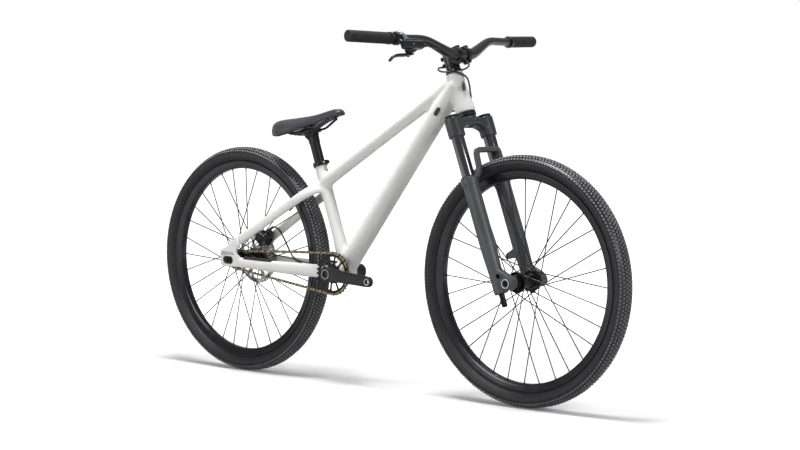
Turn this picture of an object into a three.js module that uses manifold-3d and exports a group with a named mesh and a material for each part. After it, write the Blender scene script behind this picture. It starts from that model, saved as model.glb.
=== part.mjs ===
// Dirt jump bike: a hardtail frame with a suspension fork, one gear and one rear disc brake.
// Millimetres. +X is forward, +Y is the rider's left, +Z is up.
// The origin is on the ground, midway between the two axles, in the bike's centre plane.
import * as THREE from "three";
import { mergeVertices } from "three/addons/utils/BufferGeometryUtils.js";
import Module from "manifold-3d";

const wasm = await Module();
wasm.setup();

// Clearances that the whole bike shares
const seatGap = 0.3;
const cutOverrun = 6;

// Wheels
const wheelRadius = 343;
const wheelbase = 1074;
const tyreWidth = 58;
const tyreWall = 3.4;
const rimOuterRadius = 299;
const rimInnerRadius = 277;
const rimWidth = 30;
const rimBedWidth = 20;
const rimWellRadius = 288;
const rimLip = 2.5;
const spokeCount = 32;
const spokeDiameter = 2;
const spokeCrossings = 3;
const valveDiameter = 6;
const valveLength = 36;

// Drivetrain
const chainPitch = 12.7;
const chainLinks = 86;
const chainringTeeth = 30;
const cogTeeth = 13;
const chainLine = 45;
const chainRollerDiameter = 7.7;
const chainPlateHeight = 8.4;
const chainPlateThickness = 1;
const chainInnerWidth = 3.4;
const toothThickness = 2;
const crankLength = 169;
const crankAngle = -3.6;
const crankThickness = 14;
const crankOuterFace = 78;
const spindleDiameter = 30;
const spindleBore = 24;
const bottomBracketDrop = 18;
const bottomBracketWidth = 73;
const bottomBracketDiameter = 50;

// Frame
const headAngle = 69.7;
const headTubeLength = 117;
const headTubeTopDiameter = 48;
const headTubeBottomDiameter = 56;
const headTubeBore = 42;
const downTubeDiameter = 57;
const topTubeDiameter = 38;
const seatTubeDiameter = 36.5;
const seatTubeAngle = 70.4;
const seatTubeAhead = 20;
const seatTubeTopHeight = 646;
const downTubeHeadRise = 88;
const topTubeHeadRise = 96;
const topTubeDrop = 59;
const topTubeSeatHeight = seatTubeTopHeight - topTubeDrop;
const chainstayHeight = 41;
const chainstayWidth = 18;
const seatstayHeight = 29;
const seatstayWidth = 15;
const dropoutSpacing = 135;
const dropoutThickness = 9;

// Fork and steering
const forkOffset = 36;
const axleToCrown = 484;
const lowerHeadsetStack = 12;
const steererDiameter = 28.6;
const stanchionDiameter = 36;
const stanchionSpacing = 138;
const stanchionAhead = 3;
const stanchionLength = 354;
const forkTravel = 100;
const lowerLegDiameter = 44;
const frontHubSpacing = 100;
const frontAxleDiameter = 20;

// Cockpit
const stemReach = 40;
const stemHeight = 38;
const spacerStack = 19;
const barClampDiameter = 31.8;
const barEndDiameter = 22.2;
const barWidth = 792;
const barSweepBack = 40;
const gripLength = 134;
const gripDiameter = 32;

// Seat
const seatpostDiameter = 30.9;
const seatpostDepthShare = 0.5636;
const seatpostExposed = 70;
const saddleLength = 292;
const saddleWidth = 142;
const saddleTilt = 9;

// Brake
const rotorDiameter = 160;
const rotorThickness = 1.8;
const rotorPlane = 52;
const hoseDiameter = 5;

// Shared facet counts
const roundSides = 14;
const smallSides = 8;
const wheelSegments = 36;

const degrees = Math.PI / 180;
const fullTurn = Math.PI * 2;
const alongX = new THREE.Vector3(1, 0, 0);
const alongY = new THREE.Vector3(0, 1, 0);

// Geometry helpers

function vector(x, y, z) {
  return new THREE.Vector3(x, y, z);
}

function mix(a, b, share) {
  return a + (b - a) * share;
}

function signedVolume(positions, faces) {
  let sum = 0;
  for (let i = 0; i < faces.length; i += 3) {
    const [a, b, c] = [faces[i], faces[i + 1], faces[i + 2]].map((k) => positions[k]);
    sum += a.dot(b.clone().cross(c));
  }
  return sum;
}

// A closed mesh from points and triangles, with its faces turned outwards
function closedMesh(points, faces) {
  const turned = signedVolume(points, faces) < 0;
  const order = turned ? faces.slice().reverse() : faces;
  const geometry = new THREE.BufferGeometry();
  const flat = points.flatMap((p) => [p.x, p.y, p.z]);
  geometry.setAttribute("position", new THREE.Float32BufferAttribute(flat, 3));
  geometry.setIndex(order);
  return geometry;
}

// Skin over a row of rings with the same number of points; a loop has no end caps
function loft(rings, loop = false) {
  const count = rings[0].length;
  const points = rings.flat();
  const faces = [];
  const spans = loop ? rings.length : rings.length - 1;
  for (let r = 0; r < spans; r++) {
    const here = r * count;
    const next = ((r + 1) % rings.length) * count;
    for (let i = 0; i < count; i++) {
      const j = (i + 1) % count;
      faces.push(here + i, next + i, next + j, here + i, next + j, here + j);
    }
  }
  if (!loop) {
    const last = (rings.length - 1) * count;
    for (let i = 1; i < count - 1; i++) {
      faces.push(0, i, i + 1, last, last + i + 1, last + i);
    }
  }
  return closedMesh(points, faces);
}

// An oval ring: side and rise are unit vectors, power above 2 squares the corners
function oval(centre, side, rise, wide, tall, sides, power = 2) {
  const ring = [];
  const ease = (value) => Math.sign(value) * Math.abs(value) ** (2 / power);
  for (let i = 0; i < sides; i++) {
    const angle = (fullTurn * (i + 0.5)) / sides;
    const point = centre.clone();
    point.addScaledVector(side, (wide / 2) * ease(Math.cos(angle)));
    point.addScaledVector(rise, (tall / 2) * ease(Math.sin(angle)));
    ring.push(point);
  }
  return ring;
}

// A tube through stations { at, wide, tall }, kept level with the reference direction
function sweep(stations, sides = roundSides, reference = alongY, power = 2) {
  const rings = stations.map((station, i) => {
    const before = stations[Math.max(i - 1, 0)].at;
    const after = stations[Math.min(i + 1, stations.length - 1)].at;
    const along = after.clone().sub(before).normalize();
    const side = reference.clone().addScaledVector(along, -reference.dot(along)).normalize();
    const rise = along.clone().cross(side);
    const tall = station.tall ?? station.wide;
    return oval(station.at, side, rise, station.wide, tall, sides, station.power ?? power);
  });
  return loft(rings);
}

function rod(from, to, diameter, sides = smallSides, endDiameter = diameter) {
  const along = to.clone().sub(from).normalize();
  const reference = Math.abs(along.y) > Math.SQRT1_2 ? alongX : alongY;
  return sweep([{ at: from, wide: diameter }, { at: to, wide: endDiameter }], sides, reference);
}

// A round piece about the Z axis from [radius, height] points that start and end on the axis
function turned(profile, sides = roundSides) {
  const points = profile.map(([radius, height]) => new THREE.Vector2(radius, height));
  return tidy(new THREE.LatheGeometry(points, sides).rotateX(Math.PI / 2));
}

// A round ring about the Z axis: the profile closes on itself
function turnedRing(profile, sides = roundSides) {
  return turned([...profile, profile[0]], sides);
}

function tube(outerDiameter, innerDiameter, low, high, sides = roundSides) {
  const outer = outerDiameter / 2;
  const inner = innerDiameter / 2;
  return turnedRing([[inner, low], [outer, low], [outer, high], [inner, high]], sides);
}

// A flat plate from an outline in X and Z, spread over Y from one side to the other
function plate(shape, fromY, toY, curveSegments = smallSides) {
  const depth = Math.abs(toY - fromY);
  const options = { depth, bevelEnabled: false, curveSegments };
  const geometry = new THREE.ExtrudeGeometry(shape, options);
  geometry.rotateX(Math.PI / 2);
  geometry.translate(0, Math.max(fromY, toY), 0);
  return tidy(geometry);
}

function shapeOf(points) {
  return new THREE.Shape(points.map(([x, z]) => new THREE.Vector2(x, z)));
}

// Shared vertices merged, empty triangles dropped and faces turned outwards
function tidy(geometry) {
  const bare = geometry.clone();
  bare.deleteAttribute("normal");
  bare.deleteAttribute("uv");
  const merged = mergeVertices(bare, 1e-4);
  const points = [];
  const place = merged.attributes.position;
  for (let i = 0; i < place.count; i++) {
    points.push(new THREE.Vector3().fromBufferAttribute(place, i));
  }
  const faces = [];
  const index = merged.index.array;
  for (let i = 0; i < index.length; i += 3) {
    const [a, b, c] = [index[i], index[i + 1], index[i + 2]];
    if (a !== b && b !== c && c !== a) {
      faces.push(a, b, c);
    }
  }
  return closedMesh(points, faces);
}

function solid(geometry) {
  const clean = tidy(geometry);
  const mesh = new wasm.Mesh({
    numProp: 3,
    vertProperties: new Float32Array(clean.attributes.position.array),
    triVerts: new Uint32Array(clean.index.array),
  });
  return new wasm.Manifold(mesh);
}

function geometryOf(body) {
  const mesh = body.getMesh();
  const geometry = new THREE.BufferGeometry();
  geometry.setAttribute("position", new THREE.Float32BufferAttribute(mesh.vertProperties, 3));
  geometry.setIndex(Array.from(mesh.triVerts));
  return geometry;
}

function join(...pieces) {
  return geometryOf(pieces.map(solid).reduce((sum, piece) => sum.add(piece)));
}

function cut(piece, ...tools) {
  return geometryOf(tools.map(solid).reduce((left, tool) => left.subtract(tool), solid(piece)));
}

function moved(geometry, x, y, z) {
  return geometry.clone().translate(x, y, z);
}

// The mirror image of a piece, on the bike's other side
function mirrored(geometry) {
  const points = [];
  const place = geometry.attributes.position;
  for (let i = 0; i < place.count; i++) {
    points.push(vector(place.getX(i), -place.getY(i), place.getZ(i)));
  }
  const faces = geometry.index ? Array.from(geometry.index.array) : points.map((_, i) => i);
  return closedMesh(points, faces);
}

// Finishes as the photograph shows them
const finishes = {
  paint: { color: 0xe6e7e2, roughness: 0.35, metalness: 0.1 },
  forkPaint: { color: 0x3a3b3e, roughness: 0.6, metalness: 0.2 },
  stanchionBlack: { color: 0x17171a, roughness: 0.15, metalness: 0.7 },
  anodised: { color: 0x1c1c1e, roughness: 0.4, metalness: 0.6 },
  crankGrey: { color: 0x3d3f43, roughness: 0.45, metalness: 0.5 },
  steel: { color: 0xa9abad, roughness: 0.3, metalness: 0.95 },
  chainGold: { color: 0x8a7650, roughness: 0.35, metalness: 0.9 },
  tyreRubber: { color: 0x1b1b1c, roughness: 0.85, metalness: 0 },
  gripRubber: { color: 0x202123, roughness: 0.8, metalness: 0 },
  hoseBlack: { color: 0x18181a, roughness: 0.5, metalness: 0 },
  plastic: { color: 0x222325, roughness: 0.55, metalness: 0 },
  cushionCover: { color: 0x252b33, roughness: 0.7, metalness: 0 },
};

const bike = new THREE.Group();

function add(group, name, geometry, finish) {
  const mesh = new THREE.Mesh(geometry, new THREE.MeshStandardMaterial(finishes[finish]));
  mesh.name = name;
  group.add(mesh);
  return mesh;
}

// Places that the sizes fix

const rearAxle = vector(-wheelbase / 2, 0, wheelRadius);
const frontAxle = vector(wheelbase / 2, 0, wheelRadius);

function sprocketRadius(teeth) {
  return chainPitch / (2 * Math.sin(Math.PI / teeth));
}

const centresHalvings = 60;

// The distance between the cog and the chainring at which the chain is just taut
function tautCentres() {
  const big = sprocketRadius(chainringTeeth);
  const small = sprocketRadius(cogTeeth);
  const length = chainLinks * chainPitch;
  const lap = (teeth) => teeth * chainPitch;
  let low = big + small;
  let high = length / 2;
  for (let halving = 0; halving < centresHalvings; halving++) {
    const centres = (low + high) / 2;
    const lean = Math.asin((big - small) / centres);
    const onBig = lap(chainringTeeth) / 2 + (lap(chainringTeeth) * lean) / Math.PI;
    const onSmall = lap(cogTeeth) / 2 - (lap(cogTeeth) * lean) / Math.PI;
    const total = 2 * centres * Math.cos(lean) + onBig + onSmall;
    if (total > length) {
      high = centres;
    } else {
      low = centres;
    }
  }
  return (low + high) / 2;
}

const chainstayLength = tautCentres();
const bottomBracketReach = Math.sqrt(chainstayLength ** 2 - bottomBracketDrop ** 2);
const bottomBracket = rearAxle.clone().add(vector(bottomBracketReach, 0, -bottomBracketDrop));

const steerLean = (90 - headAngle) * degrees;
const steerUp = vector(-Math.sin(steerLean), 0, Math.cos(steerLean));
const steerAhead = vector(Math.cos(steerLean), 0, Math.sin(steerLean));
const headBottomRise = axleToCrown + lowerHeadsetStack;
const headBottom = frontAxle.clone();
headBottom.addScaledVector(steerAhead, -forkOffset);
headBottom.addScaledVector(steerUp, headBottomRise);

function onSteerAxis(rise) {
  return headBottom.clone().addScaledVector(steerUp, rise);
}

const seatUp = vector(-Math.cos(seatTubeAngle * degrees), 0, Math.sin(seatTubeAngle * degrees));
const seatBase = bottomBracket.clone().add(vector(seatTubeAhead, 0, 0));

function onSeatAxis(height) {
  return seatBase.clone().addScaledVector(seatUp, (height - seatBase.z) / seatUp.z);
}

// Frame: every tube is cut back from the tube that it is welded to

const tubeEndShares = [
  [0, 1.08],
  [0.12, 1],
  [0.88, 1],
  [1, 1.08],
];

function straightTube(from, to, diameter, grow = 0) {
  const stations = tubeEndShares.map(([along, girth]) => ({
    at: from.clone().lerp(to, along),
    wide: diameter * girth + 2 * grow,
  }));
  return sweep(stations, roundSides);
}

// Head tube outline as shares: rise, and how far it has drawn in to its waist
const headTubeWaistShare = 0.9;
const headTubeShares = [
  [0, 0],
  [0.125, 0],
  [0.45, 0.8],
  [0.7, 1],
];
const headCollarShare = 0.875;

function headTube(grow = 0) {
  const top = headTubeTopDiameter / 2 + grow;
  const bottom = headTubeBottomDiameter / 2 + grow;
  const waist = top * headTubeWaistShare + grow;
  const bore = headTubeBore / 2;
  const outline = [
    ...headTubeShares.map(([rise, drawn]) => [mix(bottom, waist, drawn), headTubeLength * rise]),
    [top, headTubeLength * headCollarShare],
    [top, headTubeLength],
  ];
  if (grow > 0) {
    return turned([[0, 0], ...outline, [0, headTubeLength]], roundSides);
  }
  return turnedRing([[bore, 0], ...outline, [bore, headTubeLength]], roundSides);
}

function inSteerFrame(geometry) {
  const placed = geometry.clone();
  placed.rotateY(-steerLean);
  placed.translate(headBottom.x, headBottom.y, headBottom.z);
  return placed;
}

function shell(grow = 0, bore = true) {
  const half = bottomBracketWidth / 2 + grow;
  const outer = bottomBracketDiameter + 2 * grow;
  const placed = bore
    ? tube(outer, bearingCupBore, -half, half)
    : turned([[0, -half], [outer / 2, -half], [outer / 2, half], [0, half]]);
  placed.rotateX(Math.PI / 2);
  return placed.translate(bottomBracket.x, 0, bottomBracket.z);
}

const bearingCupBore = 41;
const seatTubeFootShare = 1.3;
const seatTubeBoreShare = 0.7485;
const seatTubeFootShares = [
  [0.07, seatTubeFootShare],
  [0.16, 1.16],
  [0.36, 1],
  [1, 1],
];

function seatTube(grow = 0) {
  const top = onSeatAxis(seatTubeTopHeight);
  const stations = seatTubeFootShares.map(([along, girth]) => ({
    at: seatBase.clone().lerp(top, along),
    wide: seatTubeDiameter * girth + 2 * grow,
  }));
  return sweep(stations);
}

function seatTubeLength() {
  return (seatTubeTopHeight - seatBase.z) / seatUp.z;
}

function seatTubeBore() {
  const top = onSeatAxis(seatTubeTopHeight);
  const bottom = top.clone().addScaledVector(seatUp, -seatTubeLength() * seatTubeBoreShare);
  const above = top.clone().addScaledVector(seatUp, cutOverrun);
  return rod(bottom, above, boreAround(seatpostDiameter, roundSides), roundSides);
}

function downTube(grow = 0) {
  return straightTube(bottomBracket, onSteerAxis(downTubeHeadRise), downTubeDiameter, grow);
}

function topTube(grow = 0) {
  const from = onSeatAxis(topTubeSeatHeight);
  return straightTube(from, onSteerAxis(topTubeHeadRise), topTubeDiameter, grow);
}

// Chainstay stations as shares: along from axle to bottom bracket, spread, height, width
const chainstayShares = [
  [0.1, 1, 0.76, 0.55],
  [0.15, 0.96, 0.78, 0.9],
  [0.31, 0.87, 0.8, 1],
  [0.51, 0.65, 0.88, 1],
  [0.7, 0.33, 0.97, 0.8],
  [0.81, 0.1, 1, 0.46],
  [0.93, 0, 1, 0.46],
];
const chainstayFrontSpread = 33;
const chainstaySag = 3;

function chainstay() {
  const rearSpread = dropoutSpacing / 2 + dropoutThickness / 2;
  const stations = chainstayShares.map(([along, spread, height, width]) => {
    const at = rearAxle.clone().lerp(bottomBracket, along);
    at.y = mix(chainstayFrontSpread, rearSpread, spread);
    at.z -= chainstaySag * (1 - along);
    return { at, wide: chainstayWidth * width, tall: chainstayHeight * height };
  });
  return sweep(stations, smallSides, alongY, 3);
}

// Seatstay stations as shares: along from seat tube to dropout, spread, height, width
const seatstayShares = [
  [0.02, 0.3, 1.1, 1],
  [0.07, 0.56, 1.05, 1],
  [0.18, 0.73, 1, 1],
  [0.45, 0.81, 0.97, 1],
  [0.75, 0.9, 1, 1],
  [1, 1, 1.05, 0.8],
];
const seatstayDrop = 12;
const seatstayFootAhead = 42;
const seatstayFootRise = 62;
const seatstayFootSpread = 69;

function seatstay() {
  const head = onSeatAxis(topTubeSeatHeight).add(vector(0, 0, -seatstayDrop));
  const foot = rearAxle.clone().add(vector(seatstayFootAhead, 0, seatstayFootRise));
  const stations = seatstayShares.map(([along, spread, height, width]) => {
    const at = head.clone().lerp(foot, along);
    at.y = seatstayFootSpread * spread;
    return { at, wide: seatstayWidth * width, tall: seatstayHeight * height };
  });
  return sweep(stations, smallSides, alongY, 2.6);
}

// Dropout: a forged plate with a long slot that lets the axle slide to tension the chain
const dropoutReach = 46;
const dropoutTail = 34;
const dropoutDepth = 19;
const slotLength = 44;
const slotHeight = 24;
const slotSteps = 3;
const throatShare = 0.7;
const crotchLowShare = 0.85;
const crotchMiddleShare = 1.4;
const shoulderShare = 2.3;
const heelShare = 1.7;

function seatstayLine() {
  const head = onSeatAxis(topTubeSeatHeight).add(vector(0, 0, -seatstayDrop));
  const foot = rearAxle.clone().add(vector(seatstayFootAhead, 0, seatstayFootRise));
  return head.sub(foot).normalize();
}

// A point on the edge where the seatstay is welded, in X and Z from the axle
function weldEdge(across, away) {
  const line = seatstayLine();
  const x = seatstayFootAhead - line.z * across + line.x * away;
  const z = seatstayFootRise + line.x * across + line.z * away;
  return [x, z];
}

function dropout() {
  const tail = -dropoutTail;
  const foot = -dropoutDepth;
  const crotch = dropoutReach - dropoutThickness;
  const halfStay = seatstayHeight / 2;
  const outline = shapeOf([
    [tail + dropoutThickness, foot],
    [dropoutReach, foot],
    [dropoutReach, dropoutDepth * throatShare],
    [crotch, dropoutDepth * crotchLowShare],
    [crotch - dropoutThickness / 2, dropoutDepth * crotchMiddleShare],
    [crotch, dropoutDepth * 2],
    weldEdge(-halfStay, 0),
    weldEdge(halfStay, 0),
    [0, dropoutDepth * shoulderShare],
    [tail + dropoutThickness / 3, dropoutDepth * heelShare],
    [tail, dropoutDepth],
    [tail, -dropoutThickness],
  ]);
  const slot = new THREE.Path();
  const end = slotHeight / 2;
  const run = slotLength / 2 - end;
  slot.absarc(run, 0, end, -Math.PI / 2, Math.PI / 2, false);
  slot.absarc(-run, 0, end, Math.PI / 2, Math.PI * 1.5, false);
  outline.holes.push(slot);
  const inner = dropoutSpacing / 2;
  const body = plate(outline, inner, inner + dropoutThickness, slotSteps);
  return moved(body, rearAxle.x, 0, rearAxle.z);
}

// Blocks that keep the stays' ends clear of the dropout's welded edges
function seatstayGuard() {
  const wide = seatstayHeight;
  const block = shapeOf([
    weldEdge(-wide, seatGap),
    weldEdge(wide, seatGap),
    weldEdge(wide, -wide),
    weldEdge(-wide, -wide),
  ]);
  return moved(plate(block, 0, dropoutSpacing), rearAxle.x, 0, rearAxle.z);
}

function chainstayGuard() {
  const front = dropoutReach + seatGap;
  const tall = chainstayHeight;
  const block = shapeOf([
    [0, -tall],
    [front, -tall],
    [front, tall],
    [0, tall],
  ]);
  return moved(plate(block, 0, dropoutSpacing), rearAxle.x, 0, rearAxle.z);
}

function addFrame() {
  const headGuard = inSteerFrame(headTube(seatGap));
  const shellGuard = shell(seatGap, false);
  const downGuard = downTube(seatGap);
  const seatGuard = seatTube(seatGap);
  const topGuard = topTube(seatGap);
  add(bike, "head_tube", inSteerFrame(headTube()), "paint");
  add(bike, "bottom_bracket_shell", shell(), "paint");
  const frontPort = inSteerFrame(frontHose(3 * seatGap, hoseDiameter));
  add(bike, "down_tube", cut(downTube(), shellGuard, headGuard, frontPort), "paint");
  add(bike, "seat_tube", cut(seatTube(), shellGuard, downGuard, seatTubeBore()), "paint");
  add(bike, "top_tube", cut(topTube(), headGuard, downGuard, seatGuard), "paint");
  const chainstayPlain = cut(chainstay(), shellGuard, seatGuard, chainstayGuard());
  const chainstayLeft = cut(chainstayPlain, rearHose(seatGap));
  const seatstayLeft = cut(seatstay(), seatGuard, topGuard, seatstayGuard());
  const dropoutLeft = dropout();
  add(bike, "chainstay_left", chainstayLeft, "paint");
  add(bike, "chainstay_right", mirrored(chainstayPlain), "paint");
  add(bike, "seatstay_left", seatstayLeft, "paint");
  add(bike, "seatstay_right", mirrored(seatstayLeft), "paint");
  add(bike, "dropout_left", dropoutLeft, "paint");
  add(bike, "dropout_right", mirrored(dropoutLeft), "paint");
}

// Wheels: turned about the axle, with local Z towards the rider's left

function wheelGroup(axle) {
  const group = new THREE.Group();
  group.position.copy(axle);
  group.rotation.x = -Math.PI / 2;
  bike.add(group);
  return group;
}

// Half of the rim's section, from the spoke bed out to the tyre's hook and down into the well
function rim() {
  const bed = rimBedWidth / 2;
  const side = rimWidth / 2;
  const inner = side - rimLip;
  const half = [
    [rimInnerRadius, bed],
    [rimOuterRadius, side],
    [rimOuterRadius, inner],
    [rimWellRadius + rimLip, inner],
  ];
  const other = half.map(([radius, out]) => [radius, -out]).reverse();
  return turnedRing([...half, [rimWellRadius, 0], ...other], wheelSegments);
}

// Tyre section as shares: rise from bead to crown, half width
const tyreSideShares = [
  [0.3, 0.76],
  [0.54, 1],
  [0.8, 0.86],
  [0.95, 0.5],
];
const tyreLiningShares = [
  [0.28, 0.74],
  [0.78, 0.86],
];
const tyreHookShare = 0.15;
const tyreHookGap = 2 * seatGap;

function tyre() {
  const bead = rimWellRadius + 2 * rimLip;
  const hook = rimWidth / 2 - rimLip - tyreHookGap;
  const half = tyreWidth / 2;
  const hookTop = mix(bead, wheelRadius, tyreHookShare);
  const place = ([rise, spread]) => [mix(bead, wheelRadius, rise), half * spread];
  const side = [
    [bead, hook],
    [hookTop, hook],
    ...tyreSideShares.map(place),
  ];
  const lining = [
    [bead, hook - tyreWall],
    [hookTop, hook - tyreWall],
    ...tyreLiningShares.map(place).map(([radius, out]) => [radius, out - tyreWall]),
  ];
  const other = (points) => points.map(([radius, out]) => [radius, -out]).reverse();
  return turnedRing([
    ...side,
    [wheelRadius, 0],
    ...other(side),
    ...lining.map(([radius, out]) => [radius, -out]),
    ...lining.slice().reverse(),
  ], wheelSegments);
}

const spokeSides = 3;
const spokeSinkShare = 0.6;
const spokeGirthShare = 1.1;
const flangeThickness = 5.6;
const flangeRadius = 29;
const hubWaistRadius = 18;

// Tangential spokes: each leads or trails its flange hole by the crossing angle
function spokes(holeRadius, flangeLeft, flangeRight) {
  const perSide = spokeCount / 2;
  const step = fullTurn / perSide;
  const reach = rimInnerRadius * Math.cos(Math.PI / wheelSegments) - seatGap;
  const pieces = [];
  for (const [side, flange] of [[1, flangeLeft], [-1, flangeRight]]) {
    for (let i = 0; i < perSide; i++) {
      const hole = step * i + (side > 0 ? 0 : step / 2);
      const sense = i % 2 ? 1 : -1;
      const end = hole + sense * spokeCrossings * step;
      const start = flange + sense * (flangeThickness / 2 - spokeDiameter * spokeSinkShare);
      const from = vector(holeRadius * Math.cos(hole), holeRadius * Math.sin(hole), start);
      const to = vector(reach * Math.cos(end), reach * Math.sin(end), side * spokeDiameter);
      pieces.push(rod(from, to, spokeDiameter * spokeGirthShare, spokeSides));
    }
  }
  return pieces;
}

// Hub shell with two spoke flanges; the ends are its bearing seats
function hubShell(low, high, flangeLow, flangeHigh, endRadius, boreRadius) {
  const half = flangeThickness / 2;
  return turnedRing([
    [boreRadius, low],
    [endRadius, low],
    [endRadius, flangeLow - half],
    [flangeRadius, flangeLow - half],
    [flangeRadius, flangeLow + half],
    [hubWaistRadius, flangeLow + 3 * half],
    [hubWaistRadius, flangeHigh - 3 * half],
    [flangeRadius, flangeHigh - half],
    [flangeRadius, flangeHigh + half],
    [endRadius, flangeHigh + half],
    [endRadius, high],
    [boreRadius, high],
  ]);
}

function valve() {
  const top = rimInnerRadius + rimLip;
  const half = valveDiameter / 2;
  const stem = turned([
    [0, rimInnerRadius - valveLength],
    [half, rimInnerRadius - valveLength + half],
    [half, top],
    [0, top],
  ], smallSides);
  return stem.rotateY(Math.PI / 2).rotateZ(fullTurn / spokeCount / 2);
}

function addWheel(group, place, hub, flangeLow, flangeHigh) {
  const laced = spokes(flangeRadius - spokeDiameter, flangeHigh, flangeLow);
  add(group, `${place}_hub_and_spokes`, join(hub, ...laced), "anodised");
  add(group, `${place}_rim`, join(rim(), valve()), "anodised");
  add(group, `${place}_tyre`, tyre(), "tyreRubber");
}

// Front wheel
const frontFlangeInset = 16;
const frontEndRadius = 22;
const hubEndGap = 0.4;

function addFrontWheel() {
  const group = wheelGroup(frontAxle);
  const end = frontHubSpacing / 2 - hubEndGap;
  const flange = end - frontFlangeInset;
  const bore = frontAxleDiameter / 2 + seatGap;
  const hub = hubShell(-end, end, -flange, flange, frontEndRadius, bore);
  addWheel(group, "front", hub, -flange, flange);
}

// Rear wheel: rotor on the left, cog and its driver on the right
const rearAxleRadius = 6;
const axleShoulderRadius = 10;
const axleShoulderLength = 9;
const axleHeadRadius = 9;
const driverRadius = 16;
const driverBoreRadius = 11;
const driverInner = 35;
const rearFlangeLeft = 34;
const rearFlangeRight = 29;
const rotorSeatRadius = 21;
const rotorCarrierWidth = 8;
const rotorBandWidth = 14;
const rotorArms = 6;

function arc(radius, from, to, steps) {
  const points = [];
  for (let i = 0; i <= steps; i++) {
    const angle = mix(from, to, i / steps);
    points.push([radius * Math.cos(angle), radius * Math.sin(angle)]);
  }
  return points;
}

// A flat disc about Z with a round bore and windows cut in it
function pierced(outline, boreRadius, windows) {
  const shape = shapeOf(outline);
  for (const hole of [arc(boreRadius, fullTurn, 0, roundSides), ...windows]) {
    shape.holes.push(new THREE.Path(hole.map(([x, y]) => new THREE.Vector2(x, y))));
  }
  return shape;
}

const rotorSweepShare = 0.8;
const rotorLean = 17 * degrees;
const rotorWindowSteps = 3;

function rotor() {
  const outer = rotorDiameter / 2;
  const low = rotorSeatRadius + rotorCarrierWidth;
  const high = outer - rotorBandWidth;
  const windows = [];
  for (let i = 0; i < rotorArms; i++) {
    const from = (fullTurn * i) / rotorArms;
    const to = from + (fullTurn / rotorArms) * rotorSweepShare;
    windows.push([
      ...arc(high, from + rotorLean, to + rotorLean, rotorWindowSteps),
      ...arc(low, to, from, 1),
    ]);
  }
  const rim = arc(outer, 0, fullTurn, wheelSegments).slice(0, -1);
  const shape = pierced(rim, rotorSeatRadius + 2 * seatGap, windows);
  const options = { depth: rotorThickness, bevelEnabled: false };
  const disc = tidy(new THREE.ExtrudeGeometry(shape, options));
  return moved(disc, 0, 0, rotorPlane - rotorThickness / 2);
}

// Sprocket outline: a valley that clears each roller and a flat-topped tooth between valleys
const toothHeight = 2.6;
const rollerHalf = 3.1;

function sprocketOutline(teeth, valleyAngle) {
  const valley = sprocketRadius(teeth) - rollerHalf - seatGap;
  const tip = sprocketRadius(teeth) + toothHeight;
  const valleyHalf = (rollerHalf + seatGap) / valley;
  const points = [];
  for (let i = 0; i < teeth; i++) {
    const angle = valleyAngle + (fullTurn * i) / teeth;
    const middle = angle + Math.PI / teeth;
    points.push(...arc(valley, angle - valleyHalf, angle + valleyHalf, 1));
    points.push([tip * Math.cos(middle), tip * Math.sin(middle)]);
  }
  return points;
}

// The chain's two straight runs leave the sprockets at these angles in the X and Z plane
const chainLean = Math.asin(
  (sprocketRadius(chainringTeeth) - sprocketRadius(cogTeeth)) / chainstayLength,
);
const centresAngle = Math.atan2(-bottomBracketDrop, bottomBracketReach);
const topRunAngle = centresAngle + Math.PI / 2 + chainLean;
const cogMiddleAngle = centresAngle + Math.PI;

// Cog and its driver, in bike directions around the rear axle
function cogAndDriver() {
  const shape = pierced(sprocketOutline(cogTeeth, cogMiddleAngle), driverBoreRadius, []);
  const half = toothThickness / 2;
  const disc = plate(shape, -chainLine - half, -chainLine + half, roundSides / 2);
  const end = dropoutSpacing / 2 - axleShoulderLength - hubEndGap;
  const outer = (driverRadius + seatGap) * 2;
  const sleeve = tube(outer, 2 * (rearAxleRadius + seatGap), driverInner + hubEndGap, end);
  return join(disc, sleeve.rotateX(Math.PI / 2));
}

function addRearWheel() {
  const group = wheelGroup(rearAxle);
  const end = dropoutSpacing / 2 - axleShoulderLength - hubEndGap;
  const bore = rearAxleRadius + seatGap;
  const raw = hubShell(
    -driverInner,
    end,
    -rearFlangeRight,
    rearFlangeLeft,
    rotorSeatRadius,
    bore,
  );
  addWheel(group, "rear", raw, -rearFlangeRight, rearFlangeLeft);
  add(group, "brake_rotor", rotor(), "steel");
  const driver = new THREE.Group();
  driver.position.copy(rearAxle);
  bike.add(driver);
  add(driver, "cog_and_driver", cogAndDriver(), "anodised");
}

// Rear axle with its shoulders against the dropouts and its heads sunk in the slots
const axleHeadHeight = 4;

function addRearAxle() {
  const group = wheelGroup(rearAxle);
  const inner = dropoutSpacing / 2 - seatGap;
  const shoulder = inner - axleShoulderLength;
  const outer = dropoutSpacing / 2 + dropoutThickness;
  const head = outer - axleHeadHeight;
  const half = [
    [rearAxleRadius, shoulder],
    [axleShoulderRadius, shoulder],
    [axleShoulderRadius, inner],
    [rearAxleRadius, inner],
    [rearAxleRadius, head],
    [axleHeadRadius, head],
    [axleHeadRadius, outer],
    [0, outer],
  ];
  const other = half.map(([radius, out]) => [radius, -out]).reverse();
  const insert = slotInsert();
  const axle = turned([...other, ...half], smallSides);
  const upright = [insert, mirrored(insert)].map((side) => side.rotateX(Math.PI / 2));
  add(group, "rear_axle", join(axle, ...upright), "anodised");
}

// The block on the axle that slides in the slot, below the head
function slotInsert() {
  const end = slotHeight / 2 - seatGap;
  const run = slotLength / 2 - slotHeight / 2;
  const shape = new THREE.Shape();
  shape.absarc(run, 0, end, -Math.PI / 2, Math.PI / 2, false);
  shape.absarc(-run, 0, end, Math.PI / 2, Math.PI * 1.5, false);
  const inner = dropoutSpacing / 2;
  return plate(shape, inner, inner + dropoutThickness - axleHeadHeight, slotSteps);
}

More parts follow.
